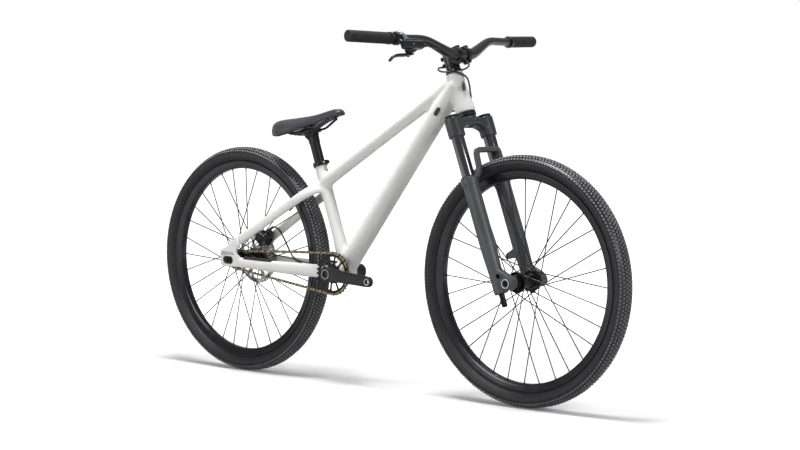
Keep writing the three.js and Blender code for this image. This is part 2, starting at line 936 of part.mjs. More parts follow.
// Chainring, cranks and spindle, around the bottom bracket
const ringBandWidth = 7;
const ringHubRadius = 27;
const ringSpokes = 10;
const ringSpokeWidth = 6;
const ringSpokePhase = 80;

function chainring() {
  const valley = sprocketRadius(chainringTeeth) - chainRollerDiameter / 2;
  const high = valley - ringBandWidth;
  const step = fullTurn / ringSpokes;
  const windows = [];
  for (let i = 0; i < ringSpokes; i++) {
    const middle = ringSpokePhase * degrees + step * (i + 0.5);
    const wide = step / 2 - ringSpokeWidth / 2 / high;
    const narrow = step / 2 - ringSpokeWidth / 2 / ringHubRadius;
    windows.push([
      ...arc(high, middle - wide, middle + wide, 2),
      ...arc(ringHubRadius, middle + narrow, middle - narrow, 1),
    ]);
  }
  const outline = sprocketOutline(chainringTeeth, topRunAngle);
  const bore = boreAround(spindleDiameter) / 2;
  const half = toothThickness / 2;
  return plate(pierced(outline, bore, windows), -chainLine - half, -chainLine + half);
}

// Arm stations as shares: along the arm, height, thickness, how far it has flared out
const armShares = [
  [-0.13, 0.62, 0.8, 0],
  [-0.06, 1.12, 1, 0],
  [0.08, 1.22, 1, 0],
  [0.3, 1.02, 0.96, 0.25],
  [0.7, 0.92, 0.92, 0.75],
  [0.98, 0.88, 0.9, 1],
  [1.06, 0.7, 0.86, 1],
  [1.09, 0.4, 0.8, 1],
];
const armHeight = 37;
const armFlare = 8;
const pedalEyeDiameter = 14.3;
const eyeBossDiameter = 31;
const armBossRadius = 20;

// A faceted bore's flats stay clear of the round piece inside it
function boreAround(diameter, sides = smallSides) {
  return (diameter + 2 * seatGap) / Math.cos(Math.PI / sides);
}

// An arm that points along +X from the spindle, with its outer face at crankOuterFace
function crankArm(bossFrom) {
  const middle = crankOuterFace - crankThickness / 2;
  const stations = armShares.map(([along, height, thickness, flare]) => ({
    at: vector(crankLength * along, middle + armFlare * flare, 0),
    wide: crankThickness * thickness,
    tall: armHeight * height,
  }));
  const arm = sweep(stations, smallSides, alongY, 4);
  const bossTo = crankOuterFace - armFlare;
  const boss = rod(vector(0, bossFrom, 0), vector(0, bossTo, 0), 2 * armBossRadius);
  const bore = rod(vector(0, 0, 0), vector(0, 2 * crankOuterFace, 0), boreAround(spindleDiameter));
  const eyeFrom = vector(crankLength, 0, 0);
  const eye = rod(eyeFrom, vector(crankLength, 2 * crankOuterFace, 0), pedalEyeDiameter);
  const face = vector(crankLength, crankOuterFace + armFlare, 0);
  const back = vector(crankLength, crankOuterFace + armFlare - crankThickness, 0);
  const eyeBoss = rod(back, face, eyeBossDiameter);
  return cut(join(arm, boss, eyeBoss), bore, eye);
}

const crankInnerEnd = chainLine + toothThickness / 2 + seatGap;
const cupLip = 6;
const cupDepth = 12;
const cupRadius = 23;

function addCranks() {
  const group = new THREE.Group();
  group.position.copy(bottomBracket);
  bike.add(group);
  add(group, "chainring", chainring(), "anodised");
  const left = crankArm(bottomBracketWidth / 2 + cupLip + hubEndGap).rotateY(
    Math.PI - crankAngle * degrees,
  );
  const right = mirrored(crankArm(crankInnerEnd)).rotateY(-crankAngle * degrees);
  add(group, "crank_arm_right", right, "crankGrey");
  add(group, "crank_arm_left", left, "crankGrey");
  const spindle = tube(spindleDiameter, spindleBore, -crankOuterFace, crankOuterFace);
  add(group, "crank_spindle", spindle.rotateX(Math.PI / 2), "anodised");
  const half = bottomBracketWidth / 2;
  const inner = boreAround(spindleDiameter, roundSides) / 2;
  const cup = turnedRing([
    [inner, half - cupDepth],
    [bearingCupBore / 2 - seatGap, half - cupDepth],
    [bearingCupBore / 2 - seatGap, half + seatGap],
    [cupRadius, half + seatGap],
    [cupRadius, half + cupLip],
    [inner, half + cupLip],
  ]).rotateX(-Math.PI / 2);
  add(group, "bottom_bracket_cup_left", cup, "anodised");
  add(group, "bottom_bracket_cup_right", mirrored(cup), "anodised");
}

// Chain: every pin lies in a sprocket's valley or on a straight run between the two sprockets

function chainPins() {
  const pins = [];
  const big = sprocketRadius(chainringTeeth);
  const small = sprocketRadius(cogTeeth);
  const bigStep = fullTurn / chainringTeeth;
  const smallStep = fullTurn / cogTeeth;
  const onBig = Math.round((Math.PI + 2 * chainLean) / bigStep);
  const onSmall = 2 * Math.round((Math.PI - 2 * chainLean) / smallStep / 2);
  const around = (centre, radius, angle) =>
    vector(centre.x + radius * Math.cos(angle), 0, centre.z + radius * Math.sin(angle));
  for (let i = 0; i <= onBig; i++) {
    pins.push(around(bottomBracket, big, topRunAngle - i * bigStep));
  }
  const rest = chainLinks - onBig - onSmall;
  const lower = Math.round(rest / 2);
  const cogPins = [];
  for (let i = 0; i <= onSmall; i++) {
    const angle = cogMiddleAngle + (onSmall / 2 - i) * smallStep;
    cogPins.push(around(rearAxle, small, angle));
  }
  const leaving = pins[pins.length - 1];
  for (let i = 1; i < lower; i++) {
    pins.push(leaving.clone().lerp(cogPins[0], i / lower));
  }
  pins.push(...cogPins);
  const upper = rest - lower;
  const last = pins[pins.length - 1];
  for (let i = 1; i < upper; i++) {
    pins.push(last.clone().lerp(pins[0], i / upper));
  }
  return pins;
}

// Link waist as a share of the plate's height; the plates sit further out on every second link
const linkWaistShare = 0.62;

// Both plates of every link, bridged by a roller at every pin, as one closed skin
function chain() {
  const pins = chainPins();
  const points = [];
  const faces = [];
  const quad = (a, b, c, d) => faces.push(a, b, c, a, c, d);
  const count = pins.length;
  const high = chainPlateHeight / 2;
  const low = high * linkWaistShare;
  const near = chainInnerWidth / 2;
  const pinRings = [];
  const waistRings = [];
  const put = (centre, along, rise, x, y, z) => {
    const at = centre.clone().addScaledVector(along, x).addScaledVector(rise, z);
    points.push(vector(at.x, y, at.z));
    return points.length - 1;
  };
  for (const side of [1, -1]) {
    pins.forEach((pin, i) => {
      const next = pins[(i + 1) % count];
      const before = pins[(i + count - 1) % count];
      const along = next.clone().sub(before).normalize();
      const rise = vector(-along.z, 0, along.x);
      const inner = near + chainPlateThickness / 2;
      const outer = inner + chainPlateThickness;
      const at = (x, y, z) => put(pin, along, rise, x, side * y, z);
      pinRings.push({
        outerTop: at(0, outer, high),
        outerLow: at(0, outer, -high),
        innerTop: at(0, inner, high),
        innerLow: at(0, inner, -high),
        rollerTop: at(0, inner, rollerHalf),
        rollerLow: at(0, inner, -rollerHalf),
        rollerAhead: at(rollerHalf, inner, 0),
        rollerBack: at(-rollerHalf, inner, 0),
      });
      const middle = pin.clone().lerp(next, 0.5);
      const run = next.clone().sub(pin).normalize();
      const up = vector(-run.z, 0, run.x);
      const step = (i % 2) * chainPlateThickness;
      const spot = (y, z) => put(middle, run, up, 0, side * y, z);
      waistRings.push({
        outerTop: spot(near + step + chainPlateThickness, low),
        outerLow: spot(near + step + chainPlateThickness, -low),
        innerTop: spot(near + step, low),
        innerLow: spot(near + step, -low),
      });
    });
  }
  // One flat face; on the right side of the chain its corners run the other way round
  const face = ([first, ...rest], onRight) => {
    const ring = [first, ...(onRight ? rest.reverse() : rest)];
    for (let i = 1; i < ring.length - 1; i++) {
      faces.push(ring[0], ring[i], ring[i + 1]);
    }
  };
  const plateSides = (from, to, onRight) => {
    face([from.outerTop, from.outerLow, to.outerLow, to.outerTop], onRight);
    face([from.innerTop, from.outerTop, to.outerTop, to.innerTop], onRight);
    face([from.outerLow, from.innerLow, to.innerLow, to.outerLow], onRight);
  };
  for (const [start, onRight] of [[0, false], [count, true]]) {
    for (let i = 0; i < count; i++) {
      const pin = pinRings[start + i];
      const waist = waistRings[start + i];
      const next = pinRings[start + ((i + 1) % count)];
      plateSides(pin, waist, onRight);
      plateSides(waist, next, onRight);
      const ahead = [pin.rollerAhead, pin.rollerTop, pin.innerTop];
      face([...ahead, waist.innerTop, waist.innerLow, pin.innerLow, pin.rollerLow], onRight);
      const back = [next.rollerBack, next.rollerLow, next.innerLow];
      face([...back, waist.innerLow, waist.innerTop, next.innerTop, next.rollerTop], onRight);
    }
  }
  const corners = ["rollerTop", "rollerAhead", "rollerLow", "rollerBack"];
  for (let i = 0; i < count; i++) {
    const left = pinRings[i];
    const right = pinRings[count + i];
    corners.forEach((corner, k) => {
      const after = corners[(k + 1) % corners.length];
      quad(left[corner], left[after], right[after], right[corner]);
    });
  }
  return moved(closedMesh(points, faces), 0, -chainLine, 0);
}

// Fork: the crown turns with the bars and the lowers slide on the stanchions.
// Places are written ahead, aside and up from the head tube's lower end, along the steering axis.

const steering = new THREE.Group();
steering.position.copy(headBottom);
steering.rotation.y = -steerLean;
bike.add(steering);

const crownTop = -lowerHeadsetStack;
const axleRise = crownTop - axleToCrown;
const halfSpacing = stanchionSpacing / 2;
const bossDiameter = 47;
const bossDrop = 4;
const bossLength = 55;
const bossTop = crownTop - bossDrop;
const bossBottom = bossTop - bossLength;
const bridgeWidth = 50;
const bridgeHeight = 30;
const raceDiameter = 54;
const raceHeight = 6;
const steererWall = 3;
const stanchionWall = 2.4;

// Bridge stations as shares: out to the stanchion, drop, width, height
const bridgeShares = [
  [-0.9, 0.45, 0.8, 1.5],
  [-0.5, 0.1, 0.88, 1.06],
  [0, 0, 1, 1],
  [0.5, 0.1, 0.88, 1.06],
  [0.9, 0.45, 0.8, 1.5],
];

function upright(diameter, low, high, aside = 0, ahead = 0) {
  const profile = [[0, low], [diameter / 2, low], [diameter / 2, high], [0, high]];
  return moved(turned(profile), ahead, aside, 0);
}

function forkCrown() {
  const stations = bridgeShares.map(([out, drop, wide, tall]) => ({
    at: vector(stanchionAhead * Math.abs(out), halfSpacing * out, bridgeMiddle(drop)),
    wide: bridgeWidth * wide,
    tall: bridgeHeight * tall,
  }));
  const bridge = sweep(stations, smallSides, alongX, 3);
  const race = upright(raceDiameter, crownTop - raceHeight, crownTop);
  const bosses = [halfSpacing, -halfSpacing].map((aside) =>
    upright(bossDiameter, bossBottom, bossTop, aside, stanchionAhead),
  );
  const bores = [halfSpacing, -halfSpacing].map((aside) =>
    upright(stanchionDiameter + 2 * seatGap, -axleToCrown, cutOverrun, aside, stanchionAhead),
  );
  const body = cut(join(bridge, race, ...bosses), ...bores);
  const steererTop = stackTop + stemHeight;
  const steerer = upright(steererDiameter, crownTop - raceHeight, steererTop);
  const bore = upright(steererDiameter - 2 * steererWall, -axleToCrown, steererTop + cutOverrun);
  return cut(join(body, steerer), bore);
}

function bridgeMiddle(drop) {
  return crownTop - bridgeHeight / 2 - bridgeHeight * drop;
}

const stackTop = headTubeLength + spacerStack;
const capDiameter = 40;
const capHeight = 7;
const stanchionTop = bossTop - bossDrop;

function stanchion(aside) {
  const outer = stanchionDiameter / 2;
  const inner = outer - stanchionWall;
  const low = stanchionTop - stanchionLength;
  const cap = capDiameter / 2;
  return moved(turned([
    [inner, low],
    [outer, low],
    [outer, bossTop + seatGap],
    [cap, bossTop + seatGap],
    [cap, bossTop + capHeight - seatGap],
    [outer, bossTop + capHeight],
    [0, bossTop + capHeight],
    [0, bossTop],
    [inner, stanchionTop],
    [inner, low],
  ]), stanchionAhead, aside, 0);
}

// Lowers: two legs, the arch in front of the wheel and the axle lugs, cast as one piece
const bumpGap = 16;
const collarDiameter = 48;
const collarLength = 19;
const legFootDiameter = 38;
const legFootDrop = 20;
const boreFloorRise = 14;
const lugRadius = 19;
const lugOuter = 82;
const collarTop = bossBottom - forkTravel - bumpGap;
const legFoot = axleRise - legFootDrop;

function leg(aside) {
  const collar = collarDiameter / 2;
  const outer = lowerLegDiameter / 2;
  const foot = legFootDiameter / 2;
  const bore = stanchionDiameter / 2 + seatGap;
  const floor = axleRise + boreFloorRise;
  return moved(turned([
    [0, legFoot],
    [foot, legFoot],
    [foot, axleRise + 2 * lugRadius],
    [outer, collarTop - 2 * forkTravel],
    [outer, collarTop - collarLength],
    [collar, collarTop - collarLength],
    [collar, collarTop],
    [bore, collarTop],
    [bore, floor],
    [0, floor],
  ]), stanchionAhead, aside, 0);
}

const archWidth = 14;
const archHeight = 16;
const archAhead = 33;
const archRise = 68;

// Arch stations as shares: out to the stanchion, ahead, rise above the collar
const archShares = [
  [0.92, 0.35, -0.36],
  [0.87, 0.66, -0.24],
  [0.81, 0.88, 0.1],
  [0.72, 1, 0.69],
  [0.56, 1, 1],
  [0, 1, 1],
];

function arch() {
  const place = ([out, ahead, rise], side) => ({
    at: vector(
      stanchionAhead + archAhead * ahead,
      side * halfSpacing * out,
      collarTop + archRise * rise,
    ),
    wide: archWidth,
    tall: archHeight,
  });
  const left = archShares.map((share) => place(share, 1));
  const right = archShares.slice(0, -1).reverse().map((share) => place(share, -1));
  return sweep([...left, ...right], smallSides, alongX, 3);
}

const lugSteps = 5;
const lugFrom = -115 * degrees;
const lugTo = 57 * degrees;

// Axle lug: from the leg forward round the axle
function lug(side) {
  const points = [];
  const back = stanchionAhead - legFootDiameter / 3;
  points.push([back, axleRise + 3 * lugRadius], [back, legFoot]);
  for (let i = 0; i <= lugSteps; i++) {
    const angle = mix(lugFrom, lugTo, i / lugSteps);
    points.push([
      forkOffset + lugRadius * Math.cos(angle),
      axleRise + lugRadius * Math.sin(angle),
    ]);
  }
  points.push([stanchionAhead + legFootDiameter / 3, axleRise + 3 * lugRadius]);
  const inner = frontHubSpacing / 2;
  return plate(shapeOf(points), side * inner, side * lugOuter);
}

// Brake post on the rear of the left leg
const postReach = 55;
const postDrop = 92;
const postHeight = 16;
const postRoot = 44;
const postWidth = 12;
const postBore = 6;

function brakePost() {
  const tip = stanchionAhead - postReach;
  const middle = axleRise + postDrop;
  const half = postHeight / 2;
  const outline = shapeOf([
    [stanchionAhead, middle + postRoot / 2],
    [tip + postHeight, middle + half],
    [tip, middle + half],
    [tip, middle - half],
    [tip + half, middle - half],
    [stanchionAhead, middle - postRoot / 2],
  ]);
  const from = halfSpacing - postWidth / 2;
  const post = plate(outline, from, from + postWidth);
  const at = tip + postHeight / 2;
  const low = vector(at, halfSpacing, middle - postRoot);
  const high = vector(at, halfSpacing, middle + postRoot);
  return cut(post, rod(low, high, postBore));
}

function forkLowers() {
  const legs = [halfSpacing, -halfSpacing].map(leg);
  const body = join(...legs, arch(), lug(1), lug(-1), brakePost());
  const bores = [halfSpacing, -halfSpacing].map((aside) => {
    const bore = stanchionDiameter + 2 * seatGap;
    return upright(bore, axleRise + boreFloorRise, crownTop, aside, stanchionAhead);
  });
  const axle = vector(forkOffset, lugOuter + cutOverrun, axleRise);
  const otherEnd = axle.clone().setY(-axle.y);
  const axleBore = rod(axle, otherEnd, boreAround(frontAxleDiameter));
  return cut(body, ...bores, axleBore);
}

const axleRingRadius = 13;
const axleRingWidth = 3;
const knobDiameter = 16;
const knobLength = 36;
const footBoltDiameter = 14;
const footBoltLength = 8;

function addFork() {
  add(steering, "fork_crown_and_steerer", forkCrown(), "forkPaint");
  add(steering, "stanchion_left", stanchion(halfSpacing), "stanchionBlack");
  add(steering, "stanchion_right", stanchion(-halfSpacing), "stanchionBlack");
  add(steering, "fork_lowers", forkLowers(), "forkPaint");
  const radius = frontAxleDiameter / 2;
  const end = lugOuter;
  const ring = -end - seatGap;
  const axle = turned([
    [0, ring - axleRingWidth],
    [axleRingRadius, ring - axleRingWidth],
    [axleRingRadius, ring],
    [radius, ring],
    [radius, end],
    [0, end],
  ], smallSides);
  add(steering, "front_axle", moved(axle.rotateX(-Math.PI / 2), forkOffset, 0, axleRise), "steel");
  const knobTop = legFoot - seatGap;
  const knob = upright(knobDiameter, knobTop - knobLength, knobTop, -halfSpacing, stanchionAhead);
  add(steering, "rebound_knob", knob, "anodised");
  const boltLow = knobTop - footBoltLength;
  const bolt = upright(footBoltDiameter, boltLow, knobTop, halfSpacing, stanchionAhead);
  add(steering, "foot_bolt", bolt, "steel");
}

// Headset
const bearingHeight = 12;
const coverHeight = 9;
const coverTopDiameter = 40;
const coverBottomDiameter = 50;
const lowerCupDiameter = 54;

function addHeadset() {
  const inner = boreAround(steererDiameter) / 2;
  const outer = headTubeBore / 2 - 2 * seatGap;
  const bearing = (low, high) => turnedRing([
    [inner, low],
    [outer, low],
    [outer, high],
    [inner, high],
  ], smallSides);
  const top = headTubeLength;
  add(bike, "headset_bearing_upper", inSteerFrame(bearing(top - bearingHeight, top)), "steel");
  add(bike, "headset_bearing_lower", inSteerFrame(bearing(0, bearingHeight)), "steel");
  const cup = tube(lowerCupDiameter, 2 * inner, crownTop + seatGap, -seatGap, smallSides);
  add(bike, "headset_cup_lower", inSteerFrame(cup), "anodised");
  const coverLow = top + seatGap;
  const coverHigh = top + coverHeight;
  add(steering, "headset_cover", turnedRing([
    [inner, coverLow],
    [coverBottomDiameter / 2, coverLow],
    [coverTopDiameter / 2, coverHigh],
    [inner, coverHigh],
  ], smallSides), "anodised");
  const spacer = tube(stemClampDiameter, 2 * inner, coverHigh + seatGap, stackTop, smallSides);
  add(steering, "headset_spacer", spacer, "anodised");
}

// Stem
const stemClampDiameter = 40;
const barClampWall = 10;
const barClampWidth = 50;
const windowWidth = 16;
const windowHeight = 26;
const topCapHeight = 6;
const topCapDiameter = 36;
const barRiseAboveStack = 19;
const clampCentre = vector(stemReach, 0, stackTop + barRiseAboveStack);
const neckRootWidthShare = 0.8;
const neckRootHeightShare = 0.85;
const neckEndWidthShare = 0.85;
const neckEndHeightShare = 0.8;

function acrossRod(centre, diameter, width, sides = roundSides) {
  const offset = vector(0, width / 2, 0);
  return rod(centre.clone().sub(offset), centre.clone().add(offset), diameter, sides);
}

function block(low, high) {
  const size = high.clone().sub(low);
  const middle = low.clone().add(high).multiplyScalar(0.5);
  return moved(new THREE.BoxGeometry(size.x, size.y, size.z), middle.x, middle.y, middle.z);
}

function addStem() {
  const clampOuter = barClampDiameter + 2 * barClampWall;
  const barrel = acrossRod(clampCentre, clampOuter, barClampWidth);
  const barBore = acrossRod(clampCentre, barClampDiameter + 4 * seatGap, 2 * barClampWidth);
  const column = upright(stemClampDiameter, stackTop + seatGap, stackTop + stemHeight);
  const neck = sweep([
    {
      at: vector(0, 0, clampCentre.z),
      wide: stemClampDiameter * neckRootWidthShare,
      tall: stemHeight * neckRootHeightShare,
    },
    {
      at: clampCentre,
      wide: barClampWidth * neckEndWidthShare,
      tall: clampOuter * neckEndHeightShare,
    },
  ], smallSides, alongY, 3);
  const far = barClampWidth;
  const split = clampCentre.x;
  const ahead = block(
    vector(split - seatGap, -far, clampCentre.z - far),
    vector(split + far, far, clampCentre.z + far),
  );
  const behind = block(
    vector(split - far, -far, clampCentre.z - far),
    vector(split + seatGap, far, clampCentre.z + far),
  );
  const steererBore = upright(steererDiameter + 2 * seatGap, 0, stackTop + 2 * stemHeight);
  const body = cut(join(column, neck, barrel), ahead, barBore, steererBore);
  add(steering, "stem_body", body, "anodised");
  const windowCut = block(
    vector(split, -windowWidth / 2, clampCentre.z - windowHeight / 2),
    vector(split + far, windowWidth / 2, clampCentre.z + windowHeight / 2),
  );
  add(steering, "stem_faceplate", cut(barrel, behind, barBore, windowCut), "anodised");
  const capLow = stackTop + stemHeight + seatGap;
  add(steering, "stem_top_cap", upright(topCapDiameter, capLow, capLow + topCapHeight), "anodised");
}

// Handlebar stations as shares: out to the bar end, back along the sweep, up the rise, girth
const barShares = [
  [0.11, 0, 0, 1],
  [0.35, 0, 0.7, 0],
  [0.63, 0.475, 0.805, 0],
  [1, 1, 1, 0],
];
const barWall = 2.2;
const barTopRise = 62.7;

function barPoint([out, back, up], side) {
  return clampCentre.clone().add(vector(
    -barSweepBack * back,
    (side * barWidth * out) / 2,
    barTopRise * up,
  ));
}

function barSweep(grow = 0, past = 0) {
  const half = barShares.map((share) => ({
    at: barPoint(share, 1),
    wide: mix(barEndDiameter, barClampDiameter, share[3]) + 2 * grow,
  }));
  const [before, last] = half.slice(-2);
  const along = last.at.clone().sub(before.at).normalize();
  last.at.addScaledVector(along, past);
  const other = half.slice().reverse().map(({ at, wide }) => ({
    at: at.clone().setY(-at.y),
    wide,
  }));
  return sweep([...other, ...half], smallSides, alongX);
}

// A place on the straight end of the bar, measured inwards from its tip
function onBarEnd(side, inwards) {
  const [before, last] = barShares.slice(-2).map((share) => barPoint(share, side));
  const along = last.clone().sub(before).normalize();
  return last.addScaledVector(along, -inwards);
}

const collarWidth = 9;
const lockDiameter = 34;
const plugLength = 2.5;

function grip(side) {
  const sleeve = rod(
    onBarEnd(side, gripLength),
    onBarEnd(side, -plugLength),
    gripDiameter,
    smallSides,
  );
  const lock = rod(
    onBarEnd(side, gripLength + collarWidth),
    onBarEnd(side, gripLength),
    lockDiameter,
    smallSides,
  );
  return cut(join(sleeve, lock), barSweep(2 * seatGap, seatGap));
}

function addBar() {
  const bar = cut(barSweep(), barSweep(-barWall, cutOverrun));
  add(steering, "handlebar", bar, "anodised");
  add(steering, "grip_left", grip(1), "gripRubber");
  add(steering, "grip_right", grip(-1), "gripRubber");
}

// Brake lever on the right: a clamp and reservoir, and a blade on a pivot
const leverInboard = 163;
const clampRingDiameter = 36;
const clampRingWidth = 14;
const reservoirAhead = 27;
const reservoirDrop = 27;
const reservoirWidth = 24;
const reservoirHeight = 25;
const reservoirInboard = 92;
const reservoirOutboard = 12;
const pivotDrop = 22;
const pivotInboard = 22;
const pivotDiameter = 6;
const earThickness = 3;
const earGap = 13.6;
const bladeWidth = 11;
const bladeThickness = 8;
const bladeReach = 70;
const bladeBack = 18;
const reservoirEndShare = 0.7;
const reservoirTaperShare = 0.1;
const leverLinkShare = 0.3;

function leverPlaces() {
  const ring = onBarEnd(-1, leverInboard);
  const box = ring.clone().add(vector(reservoirAhead, 0, -reservoirDrop));
  const pivot = box.clone().add(vector(-reservoirAhead / 2, pivotInboard, -pivotDrop));
  return { ring, box, pivot };
}

function leverBody() {
  const { ring, box, pivot } = leverPlaces();
  const along = onBarEnd(-1, 0).sub(ring).normalize();
  const half = clampRingWidth / 2;
  const clamp = rod(
    ring.clone().addScaledVector(along, -half),
    ring.clone().addScaledVector(along, half),
    clampRingDiameter,
    roundSides,
  );
  const from = box.clone().add(vector(0, reservoirInboard - pivotInboard, 0));
  const to = box.clone().add(vector(0, -reservoirOutboard, 0));
  const reservoir = sweep([
    {
      at: from,
      wide: reservoirWidth * reservoirEndShare,
      tall: reservoirHeight * reservoirEndShare,
    },
    { at: from.clone().lerp(to, reservoirTaperShare), wide: reservoirWidth, tall: reservoirHeight },
    { at: to, wide: reservoirWidth, tall: reservoirHeight },
  ], smallSides, alongX, 4);
  const link = rod(ring.clone().lerp(box, leverLinkShare), box, clampRingWidth);
  const earSpan = earGap / 2 + earThickness;
  const earHalf = bladeWidth / 2;
  const ears = [-earSpan, earGap / 2].map((from) =>
    block(
      pivot.clone().add(vector(from, -earHalf, -earHalf)),
      pivot.clone().add(vector(from + earThickness, earHalf, pivotDiameter + earHalf)),
    ),
  );
  const pinFrom = pivot.clone().add(vector(-earSpan, 0, 0));
  const pinTo = pivot.clone().add(vector(earSpan, 0, 0));
  const pin = rod(pinFrom, pinTo, pivotDiameter);
  return cut(join(clamp, link, reservoir, ...ears, pin), barSweep(seatGap));
}

// Blade stations as shares: of its reach, and of its set back and down towards the grip
const bladeShares = [
  [-0.08, 0, 0],
  [0, 0, 0],
  [0.35, 0.3, -0.12],
  [0.75, 0.28, 0.2],
  [1, 1, 0.8],
];

function leverBlade() {
  const { pivot } = leverPlaces();
  const stations = bladeShares.map(([reach, back, drop]) => ({
    at: pivot.clone().add(vector(-bladeBack * back, -bladeReach * reach, -bladeBack * drop)),
    wide: bladeWidth,
    tall: bladeThickness,
  }));
  const blade = sweep(stations, smallSides, alongX, 3);
  const from = pivot.clone().add(vector(-bladeWidth, 0, 0));
  const to = pivot.clone().add(vector(bladeWidth, 0, 0));
  return cut(blade, rod(from, to, boreAround(pivotDiameter)));
}

// Hoses follow their photographed routes; the front one winds once round the steering column
const frontHoseRoute = [
  [51, -100, 166],
  [58, -70, 155.6],
  [64.5, -40, 142],
  [60, -10, 129],
  [40.4, 20, 124.8],
  [15.7, 35, 125],
  [-2.5, 36, 127.5],
  [-17, 32, 134],
  [-32, 15, 145],
  [-36.5, -10, 146],
  [-34, -22, 141],
  [-24, -32, 132],
  [-10, -38, 124],
  [8, -36, 117],
  [22.4, -25, 112],
  [29, -10, 105],
  [29, 10, 92.9],
  [23, 20, 74.6],
  [14, 27, 57.4],
  [6.5, 32, 41.5],
  [-10, 35, 29],
  [-35, 36, 25],
  [-58, 37, 28],
];
const portAhead = -75;
const portRise = 31;
const portAside = 28;
const hoseSides = 8;

// A hose of round section through its points
function hose(points, diameter, steps) {
  const curve = new THREE.CatmullRomCurve3(points, false, "centripetal");
  const shape = new THREE.Shape();
  shape.absarc(0, 0, diameter / 2, 0, fullTurn, false);
  const options = {
    steps,
    extrudePath: curve,
    bevelEnabled: false,
    curveSegments: hoseSides / 2,
  };
  return tidy(new THREE.ExtrudeGeometry(shape, options));
}

const hosePitch = 15;

function frontHosePoints() {
  const { box } = leverPlaces();
  const start = box.clone().add(vector(seatGap, reservoirInboard - pivotInboard + 2 * seatGap, 0));
  const end = vector(portAhead, portAside, portRise);
  return [start, ...frontHoseRoute.map(([ahead, aside, up]) => vector(ahead, aside, up)), end];
}

function frontHose(grow = 0, past = 0) {
  const points = frontHosePoints();
  const last = points[points.length - 1];
  last.addScaledVector(alongY, -past);
  const length = new THREE.CatmullRomCurve3(points).getLength();
  return hose(points, hoseDiameter + 2 * grow, Math.round(length / hosePitch));
}

function addLever() {
  add(steering, "brake_lever_body", leverBody(), "anodised");
  add(steering, "brake_lever_blade", leverBlade(), "anodised");
  add(bike, "front_brake_hose", inSteerFrame(frontHose()), "hoseBlack");
}

// Seat clamp, seatpost and saddle. Post places are ahead, aside and up along the seat tube's axis.

const seatTop = onSeatAxis(seatTubeTopHeight);
const post = new THREE.Group();
post.position.copy(seatTop);
post.rotation.y = -(90 - seatTubeAngle) * degrees;
bike.add(post);

const clampDiameter = 43;
const clampHeight = 14;
const clampLug = 30;
const clampLugWidth = 22;
const clampSlit = 1.6;
const clampBoltDiameter = 6;
const clampBoltShare = 0.6;
const seatpostWall = 1.8;
const cradleDiameter = 26;
const cradleWidth = 50;
const cradleRise = 84;
const cradleBack = 3;
const railDiameter = 7;
const railSpread = 44;
const railHeight = 99;
const clampPlateHeight = 5;
const clampPlateLength = 40;

function seatClamp() {
  const inner = boreAround(seatTubeDiameter, roundSides) / 2;
  const ring = tube(clampDiameter, 2 * inner, -clampHeight, 0);
  const low = vector(inner, -clampLugWidth / 2, -clampHeight);
  const lugBlock = block(low, vector(clampLug, clampLugWidth / 2, 0));
  const bore = upright(2 * inner, -2 * clampHeight, clampHeight);
  const slit = block(
    vector(0, -clampSlit / 2, -2 * clampHeight),
    vector(2 * clampLug, clampSlit / 2, clampHeight),
  );
  const boltAt = vector(mix(inner, clampLug, clampBoltShare), 0, -clampHeight / 2);
  const bolt = acrossRod(boltAt, clampBoltDiameter, 2 * clampLugWidth, smallSides);
  return cut(join(ring, lugBlock), bore, slit, bolt);
}

// Saddle places are ahead, aside and up from where the post holds the rails
const saddle = new THREE.Group();
const railBack = 3;
saddle.position.set(-railBack, 0, railHeight);
saddle.rotation.y = (90 - seatTubeAngle - saddleTilt) * degrees;
post.add(saddle);

// Rail stations as shares: along the saddle, spread, rise
const railShares = [
  [-0.36, 1.25, 0.62],
  [-0.3, 1.2, 0.42],
  [-0.22, 1.08, 0.02],
  [-0.14, 1, 0],
  [0.14, 1, 0],
  [0.27, 0.9, 0.5],
  [0.32, 0.75, 0.62],
];
const railRise = 34;

function railLine(side, grow = 0) {
  const stations = railShares.map(([along, spread, rise]) => ({
    at: vector(saddleLength * along, (side * railSpread * spread) / 2, railRise * rise),
    wide: railDiameter + 2 * grow,
  }));
  return sweep(stations, smallSides);
}

// Saddle stations as shares: along, half width, top height, edge height
const saddleShares = [
  [-0.54, 0.3, 0.66, 0.6],
  [-0.51, 0.55, 0.86, 0.52],
  [-0.44, 0.82, 0.96, 0.42],
  [-0.34, 0.97, 0.95, 0.28],
  [-0.22, 1, 0.9, 0.02],
  [-0.1, 0.86, 0.85, 0],
  [0.02, 0.62, 0.84, 0.12],
  [0.14, 0.44, 0.88, 0.26],
  [0.26, 0.35, 0.95, 0.4],
  [0.36, 0.31, 1, 0.5],
  [0.42, 0.28, 0.97, 0.52],
  [0.455, 0.2, 0.86, 0.5],
  [0.47, 0.1, 0.72, 0.56],
];
const saddleCrownHeight = 48;

// One side of the cushion's section as shares: out and up from the edge to the crown
const cushionSideShares = [
  [0.9, 0],
  [1, 0.12],
  [0.98, 0.4],
  [0.86, 0.72],
  [0.6, 0.92],
  [0.3, 0.99],
];
const underShares = [
  [0.62, 0.27],
  [0.3, 0.32],
];
const underCrownShare = 0.33;
const underEdgeShare = 0.27;
const shellThickness = 3;

function saddleRing([along, spread, top, edge]) {
  const x = saddleLength * along;
  const half = (saddleWidth / 2) * spread;
  const high = saddleCrownHeight * top;
  const low = saddleCrownHeight * edge;
  const side = cushionSideShares.map(([out, up]) => [half * out, mix(low, high, up)]);
  const under = underShares.map(([out, up]) => [half * out, mix(low, high, up)]);
  const left = [...under.slice().reverse(), ...side];
  const right = left.map(([out, up]) => [-out, up]).reverse();
  const profile = [[0, mix(low, high, underCrownShare)], ...left, [0, high], ...right];
  return profile.map(([out, up]) => vector(x, out, up));
}

// Base shell: follows the cushion's underside and leaves a seating gap
const shellShare = 0.6;

